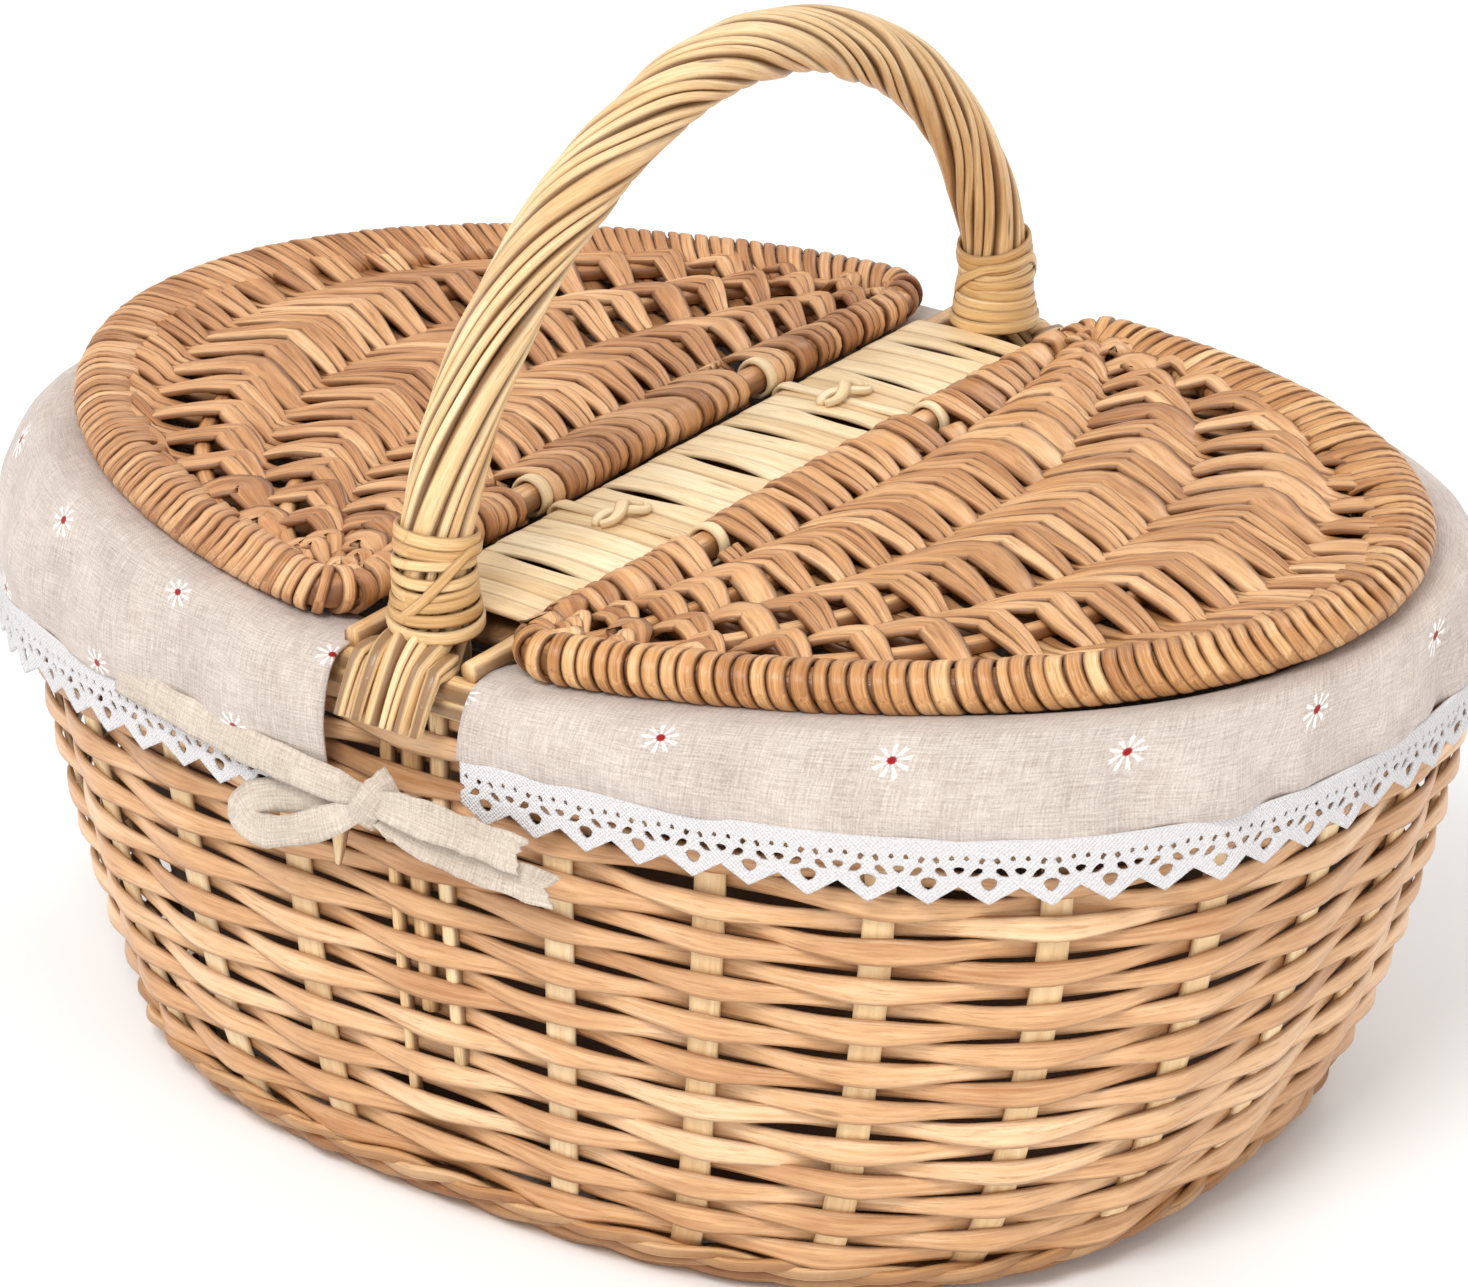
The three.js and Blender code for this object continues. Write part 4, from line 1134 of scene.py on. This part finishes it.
def lace_band(name, side, seed):
    rng = np.random.default_rng(seed)
    angle = skirt_angles(side, 400)
    top_z = HEM_TOP - skirt_drop(side) + 0.9
    a, b = RIM_A + 0.75 * SKIRT_REACH[side] + 0.6, RIM_B + 6.3
    lengths = arc_lengths(oval(a, b, top_z, angle))
    tiles = int(lengths[-1] / LACE_PITCH)
    tile_points, tile_faces = lace_tile()
    t = tile_points[:, 1]
    flutter = wander(rng, 400, 12)
    points, faces, coords = [], [], []
    for tile in range(tiles):
        x = (tile_points[:, 0] / LACE_PITCH + tile) * lengths[-1] / tiles
        inset = 0.1 * t - np.interp(x, lengths, flutter) * t / LACE_DEPTH
        point = oval(a - inset, b - 0.6 * inset, top_z - t, np.interp(x, lengths, angle))
        faces.extend([[i + len(points) for i in face] for face in tile_faces])
        points.extend((point * [side, 1, 1]).tolist())
        coords.extend(xyz(x, t, 0.0).tolist())
    piece = mesh_object(f"{name}_cotton", points, faces, coords)
    weld = piece.modifiers.new("weld", "WELD")
    weld.merge_threshold = 0.05 * MM
    thicken(piece, 1.0)
    settle(piece, LACE, [name])
    f"liner_skirt_{name.split('_')[1]}_linen"


def tape(path, width, out, crease, notch, rng):
    """A strip of cloth along a path, as a grid of points across and along it. Its two
    edges curl a little towards out, and reach notch further than its middle at its end."""
    tangent = slopes(path)
    side = unit(np.cross(tangent, np.broadcast_to(out, path.shape)))
    face = np.cross(side, tangent)
    last = np.linspace(0, 1, len(path)) ** 6
    rows = []
    for at in np.linspace(-1, 1, 9):
        curl = crease * at * at + 0.35 * wander(rng, len(path), 4) * at
        row = path + side * (at * width / 2)[:, None] + face * curl[:, None]
        longer = notch * (abs(at) - 0.5) + (0.9 * rng.uniform(-1, 1) if notch else 0.0)
        rows.append(row + tangent * (longer * last)[:, None])
    return np.stack(rows, 0)


def ribbons():
    """A bow at each handle foot: the tape comes along the top of the lace to a knot, with
    a loop to its left and two tails to its right."""
    knot = np.array([-3.0, -(RIM_B + 8.5), 127.0])
    lines = [
        ("lead", 9.5, [(-92, 9.0, 8.0), (-60, 2.6, 5.5), (-34, -0.9, 4.0), (-12, -2.0, 2.5), (0, -0.5, 1)]),
        ("loop", 9.0, [(0, -0.6, 0), (-10, -4.0, -6), (-24, -4.6, -13), (-38, -2.0, -18), (-47, 0.6, -15),
                       (-40, 1.6, -9), (-22, 0.8, -4.5), (-3, -0.6, 0)]),
        ("tail", 10.0, [(-1, -1.2, 1), (10, -3.8, 2.5), (23, -4.6, 2.5), (36, -4.0, 1.5), (48, -3.0, 0)]),
        ("tail", 9.5, [(-1, -0.8, -2), (12, -2.4, -4), (28, -3.0, -6), (43, -2.4, -7), (56, -1.2, -8)]),
        ("wrap", 8.5, [(-5, 1.5, -7), (-3.5, -2.8, -5.5), (0, -4.2, 0), (3.5, -3.0, 5.5), (5, 1.5, 7)]),
    ]
    for end, turn in (("near", 1), ("far", -1)):
        rng = np.random.default_rng(81 + turn)
        points, faces, coords = [], [], []
        for label, width, line in lines:
            path = smooth_line(line, 40) + knot
            width = width * (1 - 0.12 * np.abs(wander(rng, 40, 2)))
            if label != "wrap":
                width = width * (1 - 0.4 * np.exp(-((np.linalg.norm(path - knot, axis=1) / 9) ** 2)))
            facing = (0.2, -1.0, 0.0) if label == "wrap" else (0.0, -1.0, 0.3)
            crease, notch = (0.9, 3.0) if label == "tail" else (-0.6, 0.0)
            grid = tape(path, width, facing, crease, notch, rng)
            lengths = arc_lengths(path)
            place = xyz(lengths + 50 * len(coords), np.linspace(-4.5, 4.5, len(grid))[:, None], 0.0)
            faces.extend(grid_faces(*grid.shape[:2], first=len(points)))
            points.extend((grid * [turn, turn, 1]).reshape(-1, 3).tolist())
            coords.extend(place.reshape(-1, 3).tolist())
        piece = mesh_object(f"ribbon_{end}_linen", points, faces, coords)
        thicken(piece, 0.8)
        settle(piece, RIBBON, [f"ribbon_{end}"])


# ---- Camera, floor and light ----

CAMERA_AZIMUTH = math.radians(35.0)
CAMERA_ELEVATION = math.radians(22.9)
CAMERA_DISTANCE = 1456.0
CAMERA_TARGET = Vector((0.0, 0.0, 150.0))
AIM_DROP = 31.5
LENS = 132.5
FLOOR_HALF = 6.0
LIGHT_TARGET = Vector((0.0, 0.0, 0.12))
WORLD_STRENGTH = 0.66


def camera():
    """A camera that looks a little below its target."""
    data = bpy.data.cameras.new("camera")
    data.lens = LENS
    data.sensor_width = 36.0
    data.clip_start = 0.05
    viewer = link("camera", data)
    pitch = math.pi / 2 - CAMERA_ELEVATION
    back = Vector((0.0, 0.0, 1.0))
    back.rotate(Euler((pitch, 0.0, CAMERA_AZIMUTH)))
    viewer.location = (CAMERA_TARGET + CAMERA_DISTANCE * back) * MM
    viewer.rotation_euler = (pitch - math.atan(AIM_DROP / CAMERA_DISTANCE), 0.0, CAMERA_AZIMUTH)
    bpy.context.scene.camera = viewer


def floor():
    mesh = bpy.data.meshes.new("floor")
    corners = [(x * FLOOR_HALF, y * FLOOR_HALF, 0) for x, y in ((-1, -1), (1, -1), (1, 1), (-1, 1))]
    mesh.from_pydata(corners, [], [(0, 1, 2, 3)])
    s = Shader("floor_paper")
    color = s.ramp(s.noise(s.place(), 2.0, 2.0), [(0.0, (248.15,) * 3), (1.0, (251.6,) * 3)])
    mesh.materials.append(s.finish(color, 0.9, specular=0.1))
    link("floor", mesh)


def area_light(name, place, size, power):
    data = bpy.data.lights.new(name, "AREA")
    data.shape = "DISK"
    data.size = size
    data.energy = power
    lamp = link(name, data)
    lamp.location = place
    lamp.rotation_euler = (LIGHT_TARGET - Vector(place)).to_track_quat("-Z", "Y").to_euler()


def light():
    area_light("key", (0.4, -1.4, 1.7), 0.8, 26)
    area_light("fill", (-1.6, -0.7, 1.2), 1.2, 9.5)
    area_light("side", (1.5, -0.6, 0.7), 0.9, 4)
    area_light("rim", (0.3, 1.6, 1.5), 1.2, 12)
    world = bpy.data.worlds.new("studio")
    world.use_nodes = True
    background = world.node_tree.nodes["Background"]
    background.inputs["Color"].default_value = (1.0, 1.0, 1.0, 1.0)
    background.inputs["Strength"].default_value = WORLD_STRENGTH
    bpy.context.scene.world = world
    bpy.context.scene.view_settings.view_transform = "Standard"


camera()
floor()
light()
wall_rows()
stakes()
foot_rods()
foot_border()
base_weave()
rim_border()
handle()
handle_wraps()
bar()
hinges()
lid("lid_left", -1, 61, {
    "weave": LEFT_WILLOW, "border": LEFT_WILLOW, "pitch": 3.9, "reach": (7.5, 11.5),
    "slant": (8.0, 7.5, 6.0, 4.5, 4.0), "broad": 0.15, "triple": 0.6, "loose": far_half,
})
lid("lid_right", 1, 71, {
    "weave": RIGHT_WILLOW, "border": BORDER_WILLOW, "pitch": 4.7, "reach": (8.0, 12.5),
    "slant": (1.0, 2.5, 8.0, 5.0, 3.0), "broad": 0.3, "triple": 0.65, "loose": near_edge,
})
liner_skirt("liner_skirt_left", -1, 41)
liner_skirt("liner_skirt_right", 1, 42)
liner_bag()
lace_band("lace_left", -1, 43)
lace_band("lace_right", 1, 44)
ribbons()
